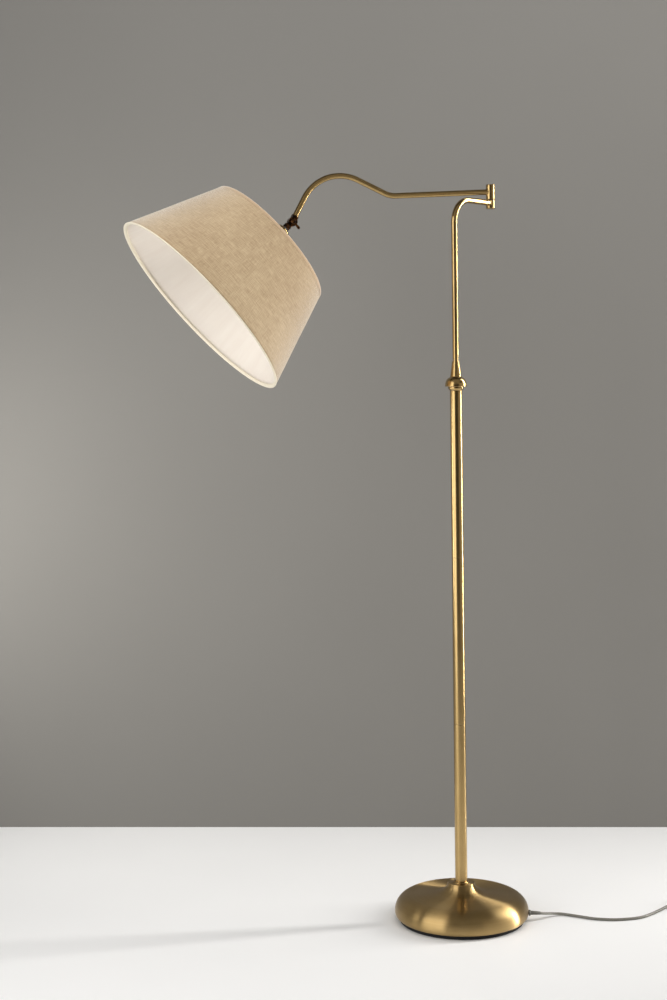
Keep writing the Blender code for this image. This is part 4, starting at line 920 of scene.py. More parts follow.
def bulb_side(shrink):
    """Half section of the glass from its neck to its crown."""
    radius, neck = BULB_R - shrink, 0.0125 - shrink
    side = [
        (neck, BULB_NECK_LOW),
        (neck + 0.0002, BULB_NECK_LOW + 0.004),
        (neck + 0.0010, BULB_NECK_LOW + 0.012),
    ]
    shoulder = math.radians(-50)
    for i in range(40):
        angle = shoulder + (math.pi / 2 - shoulder) * i / 40
        side.append((radius * math.cos(angle), BULB_CENTRE + radius * math.sin(angle)))
    side.append((0, BULB_CENTRE + radius))
    return [tuple(p) for p in blend_corners(even_out(side, 0.0012), 10)]


glass = turn("bulb_envelope", bulb_side(0) + bulb_side(BULB_WALL)[::-1], opal, 96, on_head)
fit(glass, "head", "opal_glass", "bulb_glass")

# ---------------------------------------------------------------- shade frame
# Steel wire, spot welded and powder coated white: a flat ring that drops over the holder, three
# spokes out to the top hoop, and a loose hoop in the bottom hem. A ribbed ring screws down on it.
SHADE_START, SHADE_H = 0.066, 0.197
SHADE_TOP_R, SHADE_BOTTOM_R = 0.150, 0.221
SHADE_END = SHADE_START + SHADE_H
CLOTH_WALL, LINING_WALL, TRIM_H = 0.0011, 0.0008, 0.0010
WIRE_R, SPOKE_R = 0.0016, 0.0018
LINING_FACE = CLOTH_WALL + GAP + LINING_WALL
CLOTH_LOW, CLOTH_HIGH = SHADE_START + TRIM_H + GAP, SHADE_END - TRIM_H - GAP
SPOKES = 3

# Powder coat on steel wire: white, half gloss, with the fine orange peel of the baked powder.
powder, tree, shader = new_finish("white_powder_coat", "E8E5DE", {"Roughness": 0.38, "IOR": 1.5})
place = add_node(tree, "ShaderNodeTexCoord").outputs["Object"]
peel = add_node(tree, "ShaderNodeTexNoise", {"Vector": place, "Scale": 700.0, "Detail": 2.0})
two_tones(tree, shader, peel.outputs["Fac"], "DDD9D0", "F0EEE8")
spread_value(tree, peel.outputs["Fac"], 0.32, 0.46, shader.inputs["Roughness"])
raise_grain(tree, shader, peel.outputs["Fac"], 0.00006)


def shade_radius(height, inset=0.0):
    """Radius of the shade's outer face at `height` along the head's axis, less `inset`."""
    return SHADE_TOP_R + (SHADE_BOTTOM_R - SHADE_TOP_R) * (height - SHADE_START) / SHADE_H - inset


def hoop(radius, height, steps=14):
    """Section of a round wire hoop."""
    turns = [2 * math.pi * i / steps for i in range(steps)]
    return [(radius + WIRE_R * math.cos(a), height + WIRE_R * math.sin(a)) for a in turns]


def new_tree(name, sockets):
    """An empty geometry tree with these named number inputs; returns it, its input and output."""
    tree = bpy.data.node_groups.new(name, "GeometryNodeTree")
    for label, kind in sockets:
        tree.interface.new_socket(label, in_out="INPUT", socket_type=kind)
    tree.interface.new_socket("Geometry", in_out="OUTPUT", socket_type="NodeSocketGeometry")
    return tree, tree.nodes.new("NodeGroupInput"), tree.nodes.new("NodeGroupOutput")


def grow(name, tree, values, finish, place=None):
    """Runs a geometry tree with these values and returns the result as a plain mesh piece."""
    seed = bpy.data.objects.new(name, bpy.data.meshes.new(name))
    bpy.context.scene.collection.objects.link(seed)
    change = seed.modifiers.new("grow", "NODES")
    change.node_group = tree
    labels = {item.name: item.identifier for item in tree.interface.items_tree if item.in_out == "INPUT"}
    for label, value in values.items():
        change[labels[label]] = value
    bpy.context.view_layer.update()
    done = bpy.data.meshes.new_from_object(seed.evaluated_get(bpy.context.evaluated_depsgraph_get()))
    seed.modifiers.clear()
    seed.data = done
    if place is not None:
        done.transform(place)
    if not done.materials:
        done.materials.append(finish)
    done.shade_smooth()
    done.set_sharp_from_angle(angle=math.radians(38))
    return seed


def stand_round(tree, given, out, radius, piece, finish):
    """Ends a tree: "Count" copies of a piece on a circle, each turned to face out, in one finish."""
    circle = add_node(
        tree,
        "GeometryNodeMeshCircle",
        {"Vertices": given.outputs["Count"], "Radius": given.outputs[radius]},
    )
    index = add_node(tree, "GeometryNodeInputIndex")
    step = add_node(tree, "ShaderNodeMath", {0: 2 * math.pi, 1: given.outputs["Count"]}, operation="DIVIDE")
    angle = add_node(tree, "ShaderNodeMath", {0: index.outputs[0], 1: step.outputs[0]}, operation="MULTIPLY")
    facing = add_node(tree, "ShaderNodeCombineXYZ", {"Z": angle.outputs[0]})
    placed = add_node(
        tree,
        "GeometryNodeInstanceOnPoints",
        {"Points": circle.outputs["Mesh"], "Instance": piece, "Rotation": facing.outputs["Vector"]},
    )
    real = add_node(tree, "GeometryNodeRealizeInstances", {"Geometry": placed.outputs["Instances"]})
    painted = add_node(
        tree, "GeometryNodeSetMaterial", {"Geometry": real.outputs["Geometry"], "Material": finish}
    )
    tree.links.new(painted.outputs["Geometry"], out.inputs["Geometry"])


number, whole = "NodeSocketFloat", "NodeSocketInt"
spoke_tree, given, out = new_tree(
    "spokes",
    [("Count", whole), ("Inner Radius", number), ("Length", number), ("Rod Radius", number), ("Climb", number)],
)
rod = add_node(
    spoke_tree,
    "GeometryNodeMeshCylinder",
    {
        "Vertices": 20,
        "Side Segments": 6,
        "Radius": given.outputs["Rod Radius"],
        "Depth": given.outputs["Length"],
    },
)
half = add_node(spoke_tree, "ShaderNodeMath", {0: given.outputs["Length"], 1: 0.5}, operation="MULTIPLY")
shift = add_node(spoke_tree, "ShaderNodeCombineXYZ", {"Z": half.outputs[0]})
based = add_node(
    spoke_tree,
    "GeometryNodeTransform",
    {"Geometry": rod.outputs["Mesh"], "Translation": shift.outputs["Vector"]},
)
tip = add_node(spoke_tree, "ShaderNodeCombineXYZ", {"Y": given.outputs["Climb"]})
tipped = add_node(
    spoke_tree,
    "GeometryNodeTransform",
    {"Geometry": based.outputs["Geometry"], "Rotation": tip.outputs["Vector"]},
)
stand_round(spoke_tree, given, out, "Inner Radius", tipped.outputs["Geometry"], powder)

UNO_R, UNO_WIDTH, UNO_AT, UNO_H = SOCKET_R + 0.0004, 0.0045, 0.0715, 0.0016
TOP_WIRE_AT, BOTTOM_WIRE_AT = CLOTH_LOW + WIRE_R, CLOTH_HIGH - WIRE_R
TOP_WIRE_R = shade_radius(TOP_WIRE_AT, LINING_FACE + 2 * GAP + WIRE_R)
run, climb = TOP_WIRE_R - (UNO_R + UNO_WIDTH - 0.0022), TOP_WIRE_AT - (UNO_AT + UNO_H / 2)
quarter_turn = Matrix.Rotation(math.radians(90), 4, "Z")
spokes = grow(
    "shade_spokes",
    spoke_tree,
    {
        "Count": SPOKES,
        "Inner Radius": UNO_R + UNO_WIDTH - 0.0022,
        "Length": math.hypot(run, climb),
        "Rod Radius": SPOKE_R,
        "Climb": math.atan2(run, climb),
    },
    powder,
    on_head @ Matrix.Translation(UP * (UNO_AT + UNO_H / 2)) @ quarter_turn,
)
fit(spokes, "head", "white_wire")
uno_section = bare(UNO_R, UNO_R + UNO_WIDTH, UNO_AT, UNO_AT + UNO_H, 0.0005)
uno = turn("shade_centre_ring", uno_section, powder, 96, on_head)
fit(uno, "head", "white_wire", "shade_spider")
fit(turn("shade_top_hoop", hoop(TOP_WIRE_R, TOP_WIRE_AT), powder, 160, on_head), "head", "white_wire")
bottom_wire_r = shade_radius(BOTTOM_WIRE_AT, LINING_FACE + 2 * GAP + WIRE_R)
fit(
    turn("shade_bottom_hoop", hoop(bottom_wire_r, BOTTOM_WIRE_AT), powder, 160, on_head),
    "head",
    "white_wire",
    "shade_bottom_wire",
)

rib_tree, given, out = new_tree(
    "grip_ribs",
    [("Count", whole), ("Radius", number), ("Width", number), ("Depth", number), ("Height", number)],
)
bar_size = add_node(
    rib_tree,
    "ShaderNodeCombineXYZ",
    {"X": given.outputs["Depth"], "Y": given.outputs["Width"], "Z": given.outputs["Height"]},
)
bar = add_node(rib_tree, "GeometryNodeMeshCube", {"Size": bar_size.outputs["Vector"]})
stand_round(rib_tree, given, out, "Radius", bar.outputs["Mesh"], phenolic)

RETAINER_LOW, RETAINER_H = UNO_AT + UNO_H / 2 + SPOKE_R + GAP, 0.0040
retainer = bare(UNO_R, UNO_R + 0.0028, RETAINER_LOW, RETAINER_LOW + RETAINER_H, 0.0005)
fit(turn("shade_ring_nut", retainer, phenolic, 96, on_head), "head", "black_phenolic", "shade_retaining_ring")
ribs = grow(
    "shade_ring_ribs",
    rib_tree,
    {"Count": 36, "Radius": UNO_R + 0.0028, "Width": 0.0011, "Depth": 0.0008, "Height": RETAINER_H - 0.0010},
    phenolic,
    on_head @ Matrix.Translation(UP * (RETAINER_LOW + RETAINER_H / 2)),
)
fit(ribs, "head", "black_phenolic")

# ---------------------------------------------------------------- shade
# Plain-woven linen laminated to a stiff card and rolled into a cone, drawn without its seam, with a
# white lining inside. The linen folds over the top hoop; a cream tape binds the bottom hoop.
# Linen in its natural flax colour: uneven spun yarn, so thick slubs run round the shade and fainter
# ones down it. The weave is about 0.8 mm; the slubs, 2 mm by 40 mm, are what shows from afar.
linen, tree, shader = new_finish(
    "natural_flax_linen", "B59672", {"Roughness": 0.92, "Sheen Weight": 0.85, "Sheen Roughness": 0.4}
)
cloth = add_node(tree, "ShaderNodeUVMap", uv_map="cloth").outputs["UV"]


def streaks(scale, detail=3.0):
    """Noise on the cloth, stretched by its scale along and across the yarn."""
    pulled = add_node(tree, "ShaderNodeMapping", {"Vector": cloth, "Scale": scale})
    return add_node(
        tree,
        "ShaderNodeTexNoise",
        {"Vector": pulled.outputs["Vector"], "Scale": 1.0, "Detail": detail, "Roughness": 0.6},
    ).outputs["Fac"]


weft = streaks((38.0, 640.0, 1.0))
warp = streaks((660.0, 55.0, 1.0))
fade = streaks((9.0, 9.0, 1.0), 1.0)
crossed = add_node(tree, "ShaderNodeMix", {"Factor": 0.38, "A": weft, "B": warp})
shaded = add_node(tree, "ShaderNodeMix", {"Factor": 0.16, "A": crossed.outputs["Result"], "B": fade})
tones = two_tones(tree, shader, shaded.outputs["Result"], "8C6E4A", "D0BA96")
tones.color_ramp.elements[0].position = 0.29
tones.color_ramp.elements[1].position = 0.71
parts = add_node(tree, "ShaderNodeSeparateXYZ", {"Vector": cloth})
waves = []
for axis in ("X", "Y"):
    turns = add_node(
        tree, "ShaderNodeMath", {0: parts.outputs[axis], 1: 2 * math.pi / 0.0016}, operation="MULTIPLY"
    )
    waves.append(add_node(tree, "ShaderNodeMath", {0: turns.outputs[0]}, operation="SINE").outputs[0])
weave = add_node(tree, "ShaderNodeMath", {0: waves[0], 1: waves[1]}, operation="MULTIPLY")
relief = add_node(
    tree,
    "ShaderNodeMath",
    {0: weave.outputs[0], 1: 0.25, 2: crossed.outputs["Result"]},
    operation="MULTIPLY_ADD",
)
raise_grain(tree, shader, relief.outputs[0], 0.0005, 0.8)

# White cotton-backed lining: smooth, matt, with the faintest ripple where it was rolled.
lining, tree, shader = new_finish("white_shade_lining", "E4DCD2", {"Roughness": 0.7, "Sheen Weight": 0.1})
cloth = add_node(tree, "ShaderNodeUVMap", uv_map="cloth").outputs["UV"]
ripple = streaks((60.0, 8.0, 1.0), 2.0)
fibres = streaks((700.0, 700.0, 1.0), 2.0)
two_tones(tree, shader, ripple, "DED4CA", "E9E3DA")
hand = add_node(tree, "ShaderNodeMix", {"Factor": 0.2, "A": ripple, "B": fibres})
raise_grain(tree, shader, hand.outputs["Result"], 0.0006, 0.5)

# Cream cotton tape: fine twill ribs about 1 mm apart.
tape, tree, shader = new_finish("cream_cotton_tape", "E6DCC6", {"Roughness": 0.85, "Sheen Weight": 0.2})
own = add_node(tree, "ShaderNodeAttribute", attribute_name="own").outputs["Vector"]
twill = add_node(tree, "ShaderNodeTexNoise", {"Vector": own, "Scale": 650.0, "Detail": 2.0})
two_tones(tree, shader, twill.outputs["Fac"], "D8CCB2", "F0E8D6")
raise_grain(tree, shader, twill.outputs["Fac"], 0.0003, 0.6)

# Folded linen at the top hoop, which has no cloth map of its own.
hem_linen, tree, shader = new_finish(
    "natural_flax_hem", "B59672", {"Roughness": 0.92, "Sheen Weight": 0.85, "Sheen Roughness": 0.4}
)
own = add_node(tree, "ShaderNodeAttribute", attribute_name="own").outputs["Vector"]
yarn = add_node(tree, "ShaderNodeTexNoise", {"Vector": own, "Scale": 420.0, "Detail": 3.0})
two_tones(tree, shader, yarn.outputs["Fac"], "A08260", "C8B092")
raise_grain(tree, shader, yarn.outputs["Fac"], 0.0004, 0.7)

cone_tree, given, out = new_tree(
    "rolled_cone",
    [
        ("Around", whole),
        ("Down", whole),
        ("Top", number),
        ("Bottom", number),
        ("Top Radius", number),
        ("Bottom Radius", number),
        ("Ripple", number),
        ("Seed", number),
    ],
)
sheet = add_node(
    cone_tree,
    "GeometryNodeMeshGrid",
    {"Size X": 1.0, "Size Y": 1.0, "Vertices X": given.outputs["Around"], "Vertices Y": given.outputs["Down"]},
)
slant = math.hypot(SHADE_H, SHADE_BOTTOM_R - SHADE_TOP_R)
measured = add_node(
    cone_tree,
    "ShaderNodeVectorMath",
    {0: sheet.outputs["UV Map"], 1: (2 * math.pi * (SHADE_TOP_R + SHADE_BOTTOM_R) / 2, slant, 0.0)},
    operation="MULTIPLY",
)
mapped = add_node(
    cone_tree,
    "GeometryNodeStoreNamedAttribute",
    {"Geometry": sheet.outputs["Mesh"], "Name": "cloth", "Value": measured.outputs["Vector"]},
    data_type="FLOAT2",
    domain="CORNER",
)
flat_at = add_node(cone_tree, "GeometryNodeInputPosition")
spot = add_node(cone_tree, "ShaderNodeSeparateXYZ", {"Vector": flat_at.outputs[0]})
swing = add_node(cone_tree, "ShaderNodeMath", {0: spot.outputs["X"], 1: 2 * math.pi}, operation="MULTIPLY")
down = add_node(cone_tree, "ShaderNodeMath", {0: spot.outputs["Y"], 1: 0.5}, operation="ADD")
radius = add_node(
    cone_tree,
    "ShaderNodeMapRange",
    {"Value": down.outputs[0], "To Min": given.outputs["Top Radius"], "To Max": given.outputs["Bottom Radius"]},
)
height = add_node(
    cone_tree,
    "ShaderNodeMapRange",
    {"Value": down.outputs[0], "To Min": given.outputs["Top"], "To Max": given.outputs["Bottom"]},
)
cosine = add_node(cone_tree, "ShaderNodeMath", {0: swing.outputs[0]}, operation="COSINE")
sine = add_node(cone_tree, "ShaderNodeMath", {0: swing.outputs[0]}, operation="SINE")
round_it = add_node(cone_tree, "ShaderNodeCombineXYZ", {"X": cosine.outputs[0], "Y": sine.outputs[0]})
wavy_at = add_node(
    cone_tree,
    "ShaderNodeCombineXYZ",
    {"X": cosine.outputs[0], "Y": sine.outputs[0], "Z": down.outputs[0]},
)
wave = add_node(
    cone_tree,
    "ShaderNodeTexNoise",
    {"Vector": wavy_at.outputs["Vector"], "W": given.outputs["Seed"], "Scale": 2.6, "Detail": 1.0},
    noise_dimensions="4D",
)
off = add_node(cone_tree, "ShaderNodeMath", {0: wave.outputs["Fac"], 1: 0.5}, operation="SUBTRACT")
proud = add_node(
    cone_tree,
    "ShaderNodeMath",
    {0: off.outputs[0], 1: given.outputs["Ripple"], 2: radius.outputs["Result"]},
    operation="MULTIPLY_ADD",
)
reach = add_node(
    cone_tree,
    "ShaderNodeVectorMath",
    {0: round_it.outputs["Vector"], "Scale": proud.outputs[0]},
    operation="SCALE",
)
lift = add_node(cone_tree, "ShaderNodeCombineXYZ", {"Z": height.outputs["Result"]})
rolled = add_node(
    cone_tree, "ShaderNodeVectorMath", {0: reach.outputs["Vector"], 1: lift.outputs["Vector"]}, operation="ADD"
)
bent = add_node(
    cone_tree,
    "GeometryNodeSetPosition",
    {"Geometry": mapped.outputs["Geometry"], "Position": rolled.outputs["Vector"]},
)
joined = add_node(
    cone_tree, "GeometryNodeMergeByDistance", {"Geometry": bent.outputs["Geometry"], "Distance": 0.00002}
)
cone_tree.links.new(joined.outputs["Geometry"], out.inputs["Geometry"])


def wall_of(piece, thickness, offset, finish):
    """Gives a rolled sheet its thickness, as a plain closed mesh."""
    change = piece.modifiers.new("wall", "SOLIDIFY")
    change.thickness, change.offset = thickness, offset
    change.use_even_offset = True
    bpy.context.view_layer.update()
    done = bpy.data.meshes.new_from_object(piece.evaluated_get(bpy.context.evaluated_depsgraph_get()))
    piece.modifiers.clear()
    piece.data = done
    done.materials.clear()
    done.materials.append(finish)
    bm = bmesh.new()
    bm.from_mesh(done)
    bmesh.ops.recalc_face_normals(bm, faces=bm.faces)
    bm.to_mesh(done)
    bm.free()
    return piece


back_seam = Matrix.Rotation(math.radians(90), 4, "Z")
for name, inset, wall, finish, slot, node, seed in (
    ("shade_linen", 0.0, CLOTH_WALL, linen, "linen", "shade_fabric", 3.0),
    ("shade_lining", CLOTH_WALL + GAP, LINING_WALL, lining, "white_lining", "shade_liner", 3.0),
):
    rolled_piece = grow(
        name,
        cone_tree,
        {
            "Around": 241,
            "Down": 49,
            "Top": CLOTH_LOW,
            "Bottom": CLOTH_HIGH,
            "Top Radius": shade_radius(CLOTH_LOW, inset + wall / 2),
            "Bottom Radius": shade_radius(CLOTH_HIGH, inset + wall / 2),
            "Ripple": 0.0012,
            "Seed": seed,
        },
        finish,
        on_head @ back_seam,
    )
    fit(wall_of(rolled_piece, wall, 0.0, finish), "head", slot, node)


def binding(rim, way, legs, thickness):
    """Closed section of a thin strip that follows `legs`, (inset, depth) pairs from the rim."""
    side = [(shade_radius(rim - way * depth, inset), rim - way * depth) for inset, depth in legs]
    line = blend_corners(even_out(side, 0.0004), 3)
    back = []
    for i, here in enumerate(line):
        along = (line[min(i + 1, len(line) - 1)] - line[max(i - 1, 0)]).normalized()
        back.append((here.x - way * along.y * thickness, here.y + way * along.x * thickness))
    return [tuple(p) for p in line] + back[::-1]


bottom_legs = [
    (-0.0005, 0.0020), (-0.0006, 0.0004), (0.0006, -0.0004), (0.0036, -0.0004), (0.0058, 0.0006),
    (0.0066, 0.0026), (0.0058, 0.0048), (0.0036, 0.0056), (0.0028, 0.0058),
]
hem = turn("shade_tape_bottom", binding(SHADE_END, 1, bottom_legs, 0.0004), tape, 240, on_head)
fit(hem, "head", "cream_trim", "shade_bottom_trim")
top_legs = [
    (-0.0004, 0.0060), (-0.0005, 0.0010), (0.0004, -0.0002), (0.0030, -0.0004), (0.0054, 0.0006),
    (0.0064, 0.0026), (0.0056, 0.0048), (0.0036, 0.0056), (0.0028, 0.0058),
]
fold = turn("shade_fold_top", binding(SHADE_START, -1, top_legs, 0.0004), hem_linen, 240, on_head)
fit(fold, "head", "linen", "shade_top_trim")

# ---------------------------------------------------------------- leads
# Twin-core PVC lead, threaded through the pole, the stem, the arm and the knuckle to the holder,
# with slack left at each joint so that it can turn.
# Extruded PVC: smooth and slightly waxy, grey, with soft drawing marks a millimetre or two apart.
pvc, tree, shader = new_finish("extruded_grey_pvc", "76736A", {"Roughness": 0.45, "IOR": 1.53})
place = add_node(tree, "ShaderNodeTexCoord").outputs["Object"]
drawn = add_node(tree, "ShaderNodeTexNoise", {"Vector": place, "Scale": 600.0, "Detail": 2.0})
two_tones(tree, shader, drawn.outputs["Fac"], "6A675F", "828077")
spread_value(tree, drawn.outputs["Fac"], 0.38, 0.52, shader.inputs["Roughness"])
raise_grain(tree, shader, drawn.outputs["Fac"], 0.00005)
refinish(pvc, "lead_pvc", "stand_lead", "arm_lead", "head_lead")

# ---------------------------------------------------------------- cord
# The same lead outside: 5.5 mm round, out through a bushing low in the base, across the floor, and
# the rest coiled up, tied, with its plug on top. It lies loose and rests on the floor.
CORD_R = 0.00275
CORD_EXIT = CORD_OUT * 0.1407 + UP * CORD_Z
COIL_AT = Vector((0.520, -0.085, 0))
COIL_START, COIL_TURNS = math.radians(110), 7
PLUG_SIZE = (0.024, 0.022, 0.012)


def through(knots, steps=16):
    """A smooth curve through knots, by Catmull and Rom's rule."""
    knots = [Vector(k) for k in knots]
    ends = [knots[0] * 2 - knots[1], *knots, knots[-1] * 2 - knots[-2]]
    curve = []
    for a, b, c, d in zip(ends, ends[1:], ends[2:], ends[3:]):
        for k in range(steps):
            t = k / steps
            curve.append(
                (b * 2 + (c - a) * t + (a * 2 - b * 5 + c * 4 - d) * t * t + (b * 3 - a - c * 3 + d) * t ** 3)
                * 0.5
            )
    return [*curve, knots[-1]]


def thread(name, path, section, finish, sides=20):
    """A turned section carried along a path: its (distance, radius) pairs are measured along it."""
    gone, carried, side = [0.0], [], None
    for before, after in zip(path, path[1:]):
        gone.append(gone[-1] + (after - before).length)
    for i in range(len(path)):
        ahead = (path[min(i + 1, len(path) - 1)] - path[max(i - 1, 0)]).normalized()
        side = (UP.cross(ahead) if side is None else side - ahead * side.dot(ahead)).normalized()
        carried.append((side.copy(), ahead.cross(side)))
    points, own, rings, at = [], [], [], 0
    for distance, radius in section:
        at = 0 if distance < gone[at] else at
        while at < len(gone) - 2 and gone[at + 1] < distance:
            at += 1
        t = (distance - gone[at]) / (gone[at + 1] - gone[at])
        middle = path[at].lerp(path[at + 1], t)
        across, over = (carried[at][k].lerp(carried[at + 1][k], t) for k in (0, 1))
        if radius < 1e-7:
            rings.append([len(points)])
            points.append(middle)
            own.append((0, 0, distance))
            continue
        rings.append([len(points) + k for k in range(sides)])
        for k in range(sides):
            angle = 2 * math.pi * k / sides
            points.append(middle + (across * math.cos(angle) + over * math.sin(angle)) * radius)
            own.append((radius * math.cos(angle), radius * math.sin(angle), distance))
    faces = []
    pairs = list(zip(rings, rings[1:]))
    if len(rings[0]) > 1:
        pairs.append((rings[-1], rings[0]))
    for low, high in pairs:
        for k in range(sides):
            j = (k + 1) % sides
            if len(low) == 1:
                faces.append((low[0], high[j], high[k]))
            elif len(high) == 1:
                faces.append((low[k], low[j], high[0]))
            else:
                faces.append((low[k], low[j], high[j], high[k]))
    return make_piece(name, points, faces, own, finish)


def ease(t):
    """Smooth step from 0 to 1."""
    t = min(max(t, 0.0), 1.0)
    return t * t * (3 - 2 * t)


turns = [
    (0.0385, 0.00425), (0.0330, 0.00425), (0.0275, 0.00425),
    (0.03025, 0.0090), (0.03575, 0.0090), (0.03575, 0.0145), (0.03025, 0.0145),
]
wound = []
for i in range(COIL_TURNS * 60 - 5):
    turn_at = i / 60
    here = min(int(turn_at), COIL_TURNS - 1)
    later = turns[min(here + 1, COIL_TURNS - 1)]
    t = ease((turn_at - here - 0.85) / 0.15)
    radius, height = (a + (b - a) * t for a, b in zip(turns[here], later))
    angle = COIL_START - 2 * math.pi * turn_at
    wound.append(COIL_AT + Vector((radius * math.cos(angle), radius * math.sin(angle), height)))
plug_ahead = Vector((0.866, -0.5, 0)).normalized()
plug_across = UP.cross(plug_ahead)
PLUG_BEARING, PLUG_OUT, PLUG_LIES_AT = math.radians(60), 0.029, 0.024    # where the plug rests on the coil
plug_at = (
    COIL_AT + Vector((math.cos(PLUG_BEARING), math.sin(PLUG_BEARING), 0)) * PLUG_OUT + UP * PLUG_LIES_AT
)
plug_tail = plug_at - plug_ahead * PLUG_SIZE[0] / 2
rising = through(
    [
        wound[-8],
        wound[-1],
        plug_tail - plug_ahead * 0.010 + UP * -0.0005,
        plug_tail + plug_ahead * 0.004,
    ]
)
lying = through(
    [
        CORD_EXIT - CORD_OUT * 0.012,
        CORD_EXIT - CORD_OUT * 0.004,
        CORD_EXIT + CORD_OUT * 0.004,
        (0.1420, -0.0612, 0.0160),
        (0.1560, -0.0590, 0.0130),
        (0.1700, -0.0535, 0.0096),
        (0.1860, -0.0480, 0.0062),
        (0.2060, -0.0505, 0.0036),
        (0.2200, -0.0610, 0.0029),
        (0.2333, -0.0745, 0.0029),
        (0.2583, -0.0985, 0.0029),
        (0.2973, -0.1170, 0.0029),
        (0.3436, -0.1215, 0.0029),
        (0.3751, -0.1110, 0.0029),
        (0.4060, -0.0940, 0.0029),
        (0.4349, -0.0765, 0.0029),
        (0.4610, -0.0645, 0.0032),
        (0.4820, -0.0578, 0.0043),
        wound[0],
        wound[6],
    ]
)
upto = min(range(len(lying)), key=lambda i: (lying[i] - wound[0]).length)
into = min(range(len(rising)), key=lambda i: (rising[i] - wound[-1]).length)
cord_path = blend_corners(even_out(lying[:upto] + wound[:-1] + rising[into:], 0.0025), 3)
cord_length = sum((b - a).length for a, b in zip(cord_path, cord_path[1:]))
stations = [cord_length * i / (len(cord_path) - 1) for i in range(len(cord_path))]
cord = thread(
    "mains_cord", cord_path, [(0.0, 0.0), *((d, CORD_R) for d in stations), (cord_length, 0.0)], pvc, 16
)
fit(cord, "stand", "grey_cord", "cord_free", "cord_coil")

# Grey rubber, moulded: matt, with a skin finer than a millimetre.
rubber, tree, shader = new_finish("moulded_grey_rubber", "63615B", {"Roughness": 0.62, "IOR": 1.52})
place = add_node(tree, "ShaderNodeTexCoord").outputs["Object"]
skin = add_node(tree, "ShaderNodeTexNoise", {"Vector": place, "Scale": 1400.0, "Detail": 2.0})
two_tones(tree, shader, skin.outputs["Fac"], "595751", "6F6D66")
raise_grain(tree, shader, skin.outputs["Fac"], 0.00008)
boot = [
    (0.0094, 0.0029), (0.0094, 0.0052), (0.0104, 0.0060), (0.0122, 0.0060), (0.0130, 0.0052),
    (0.0140, 0.0042), (0.0180, 0.0040), (0.0240, 0.00375), (0.0300, 0.0034), (0.0345, 0.0031), (0.0350, 0.0029),
]
relief = thread("strain_relief", cord_path[:40], boot, rubber, 32)
fit(relief, "stand", "grey_rubber", "cord_grommet")
refinish(phenolic, "black_phenolic", "cord_tie")
refinish(turned_brass, "satin_brass", "plug_blade_1", "plug_blade_2")


def moulding(name, sections, finish, place, sides=48, power=4.0):
    """A soft-cornered block lofted along its own X through (x, half width, half height) sections."""
    points, faces = [], []
    for x, wide, high in sections:
        for k in range(sides):
            angle = 2 * math.pi * k / sides
            c, s = math.cos(angle), math.sin(angle)
            y = math.copysign(abs(c) ** (2 / power), c) * wide
            z = math.copysign(abs(s) ** (2 / power), s) * high
            points.append(Vector((x, y, z)))
    for i in range(len(sections) - 1):
        for k in range(sides):
            j = (k + 1) % sides
            faces.append((i * sides + k, i * sides + j, (i + 1) * sides + j, (i + 1) * sides + k))
    faces += [tuple(range(sides)), tuple(range((len(sections) - 1) * sides, len(sections) * sides))]
    return make_piece(name, points, faces, points, finish, place)


plug_place = Matrix.Translation(plug_at) @ Matrix((plug_ahead, plug_across, UP)).transposed().to_4x4()
length, wide, high = (size / 2 for size in PLUG_SIZE)
plug_body = moulding(
    "plug_body",
    [
        (-length, 0.0038, 0.0036), (-length + 0.0006, 0.0042, 0.0040), (-length + 0.004, 0.0052, 0.0045),
        (-length + 0.008, wide * 0.82, high * 0.86), (-length + 0.011, wide * 0.93, high * 0.96),
        (length - 0.0035, wide * 0.97, high), (length - 0.0008, wide, high),
        (length - 0.0002, wide - 0.0004, high - 0.0004),
        (length, wide - 0.0010, high - 0.0010),
    ],
    phenolic,
    plug_place,
)
fit(plug_body, "stand", "black_phenolic", "cord_plug")

# ---------------------------------------------------------------- studio
# A wide, pale, slightly glossy floor in front of a plain warm grey wall. One big soft light stands
# at the left, a tall narrow one behind at the right, and a faint one overhead fills in.
VIEW_AT = Vector((-1.230, -3.094, 1.096))
VIEW_ALONG, VIEW_RIGHT = Vector((0.2974, 0.9548, 0)), Vector((0.9548, -0.2974, 0))
VIEW_ROLL = math.radians(0.62)


def plane(name, corners, finish):
    """A flat four-sided stage piece."""
    mesh = bpy.data.meshes.new(name)
    mesh.from_pydata([tuple(c) for c in corners], [], [(0, 1, 2, 3)])
    mesh.materials.append(finish)
    piece = bpy.data.objects.new(name, mesh)
    bpy.context.scene.collection.objects.link(piece)
    return piece


def soft_light(name, width, height, watts, colour, at, towards):
    """A soft rectangular light, not seen itself."""
    lamp = bpy.data.lights.new(name, "AREA")
    lamp.shape, lamp.size, lamp.size_y = "RECTANGLE", width, height
    lamp.energy, lamp.color = watts, srgb(colour)[:3]
    light = bpy.data.objects.new(name, lamp)
    bpy.context.scene.collection.objects.link(light)
    aim = (towards - at).to_track_quat("-Z", "Y").to_matrix().to_4x4()
    light.matrix_world = Matrix.Translation(at) @ aim
    light.visible_camera = False
    return light


def in_view(right, away, up):
    """A point that far right of and beyond the lamp's foot, seen from the camera, and that high."""
    return VIEW_RIGHT * right + VIEW_ALONG * away + UP * up


def one_sided(tree, shader):
    """Clears a finish from behind, so that it never stands in front of the lamp."""
    behind = add_node(tree, "ShaderNodeNewGeometry").outputs["Backfacing"]
    clear = add_node(tree, "ShaderNodeBsdfTransparent")
    either = add_node(
        tree, "ShaderNodeMixShader", {"Fac": behind, 1: shader.outputs["BSDF"], 2: clear.outputs["BSDF"]}
    )
    tree.links.new(either.outputs["Shader"], tree.nodes["Material Output"].inputs["Surface"])


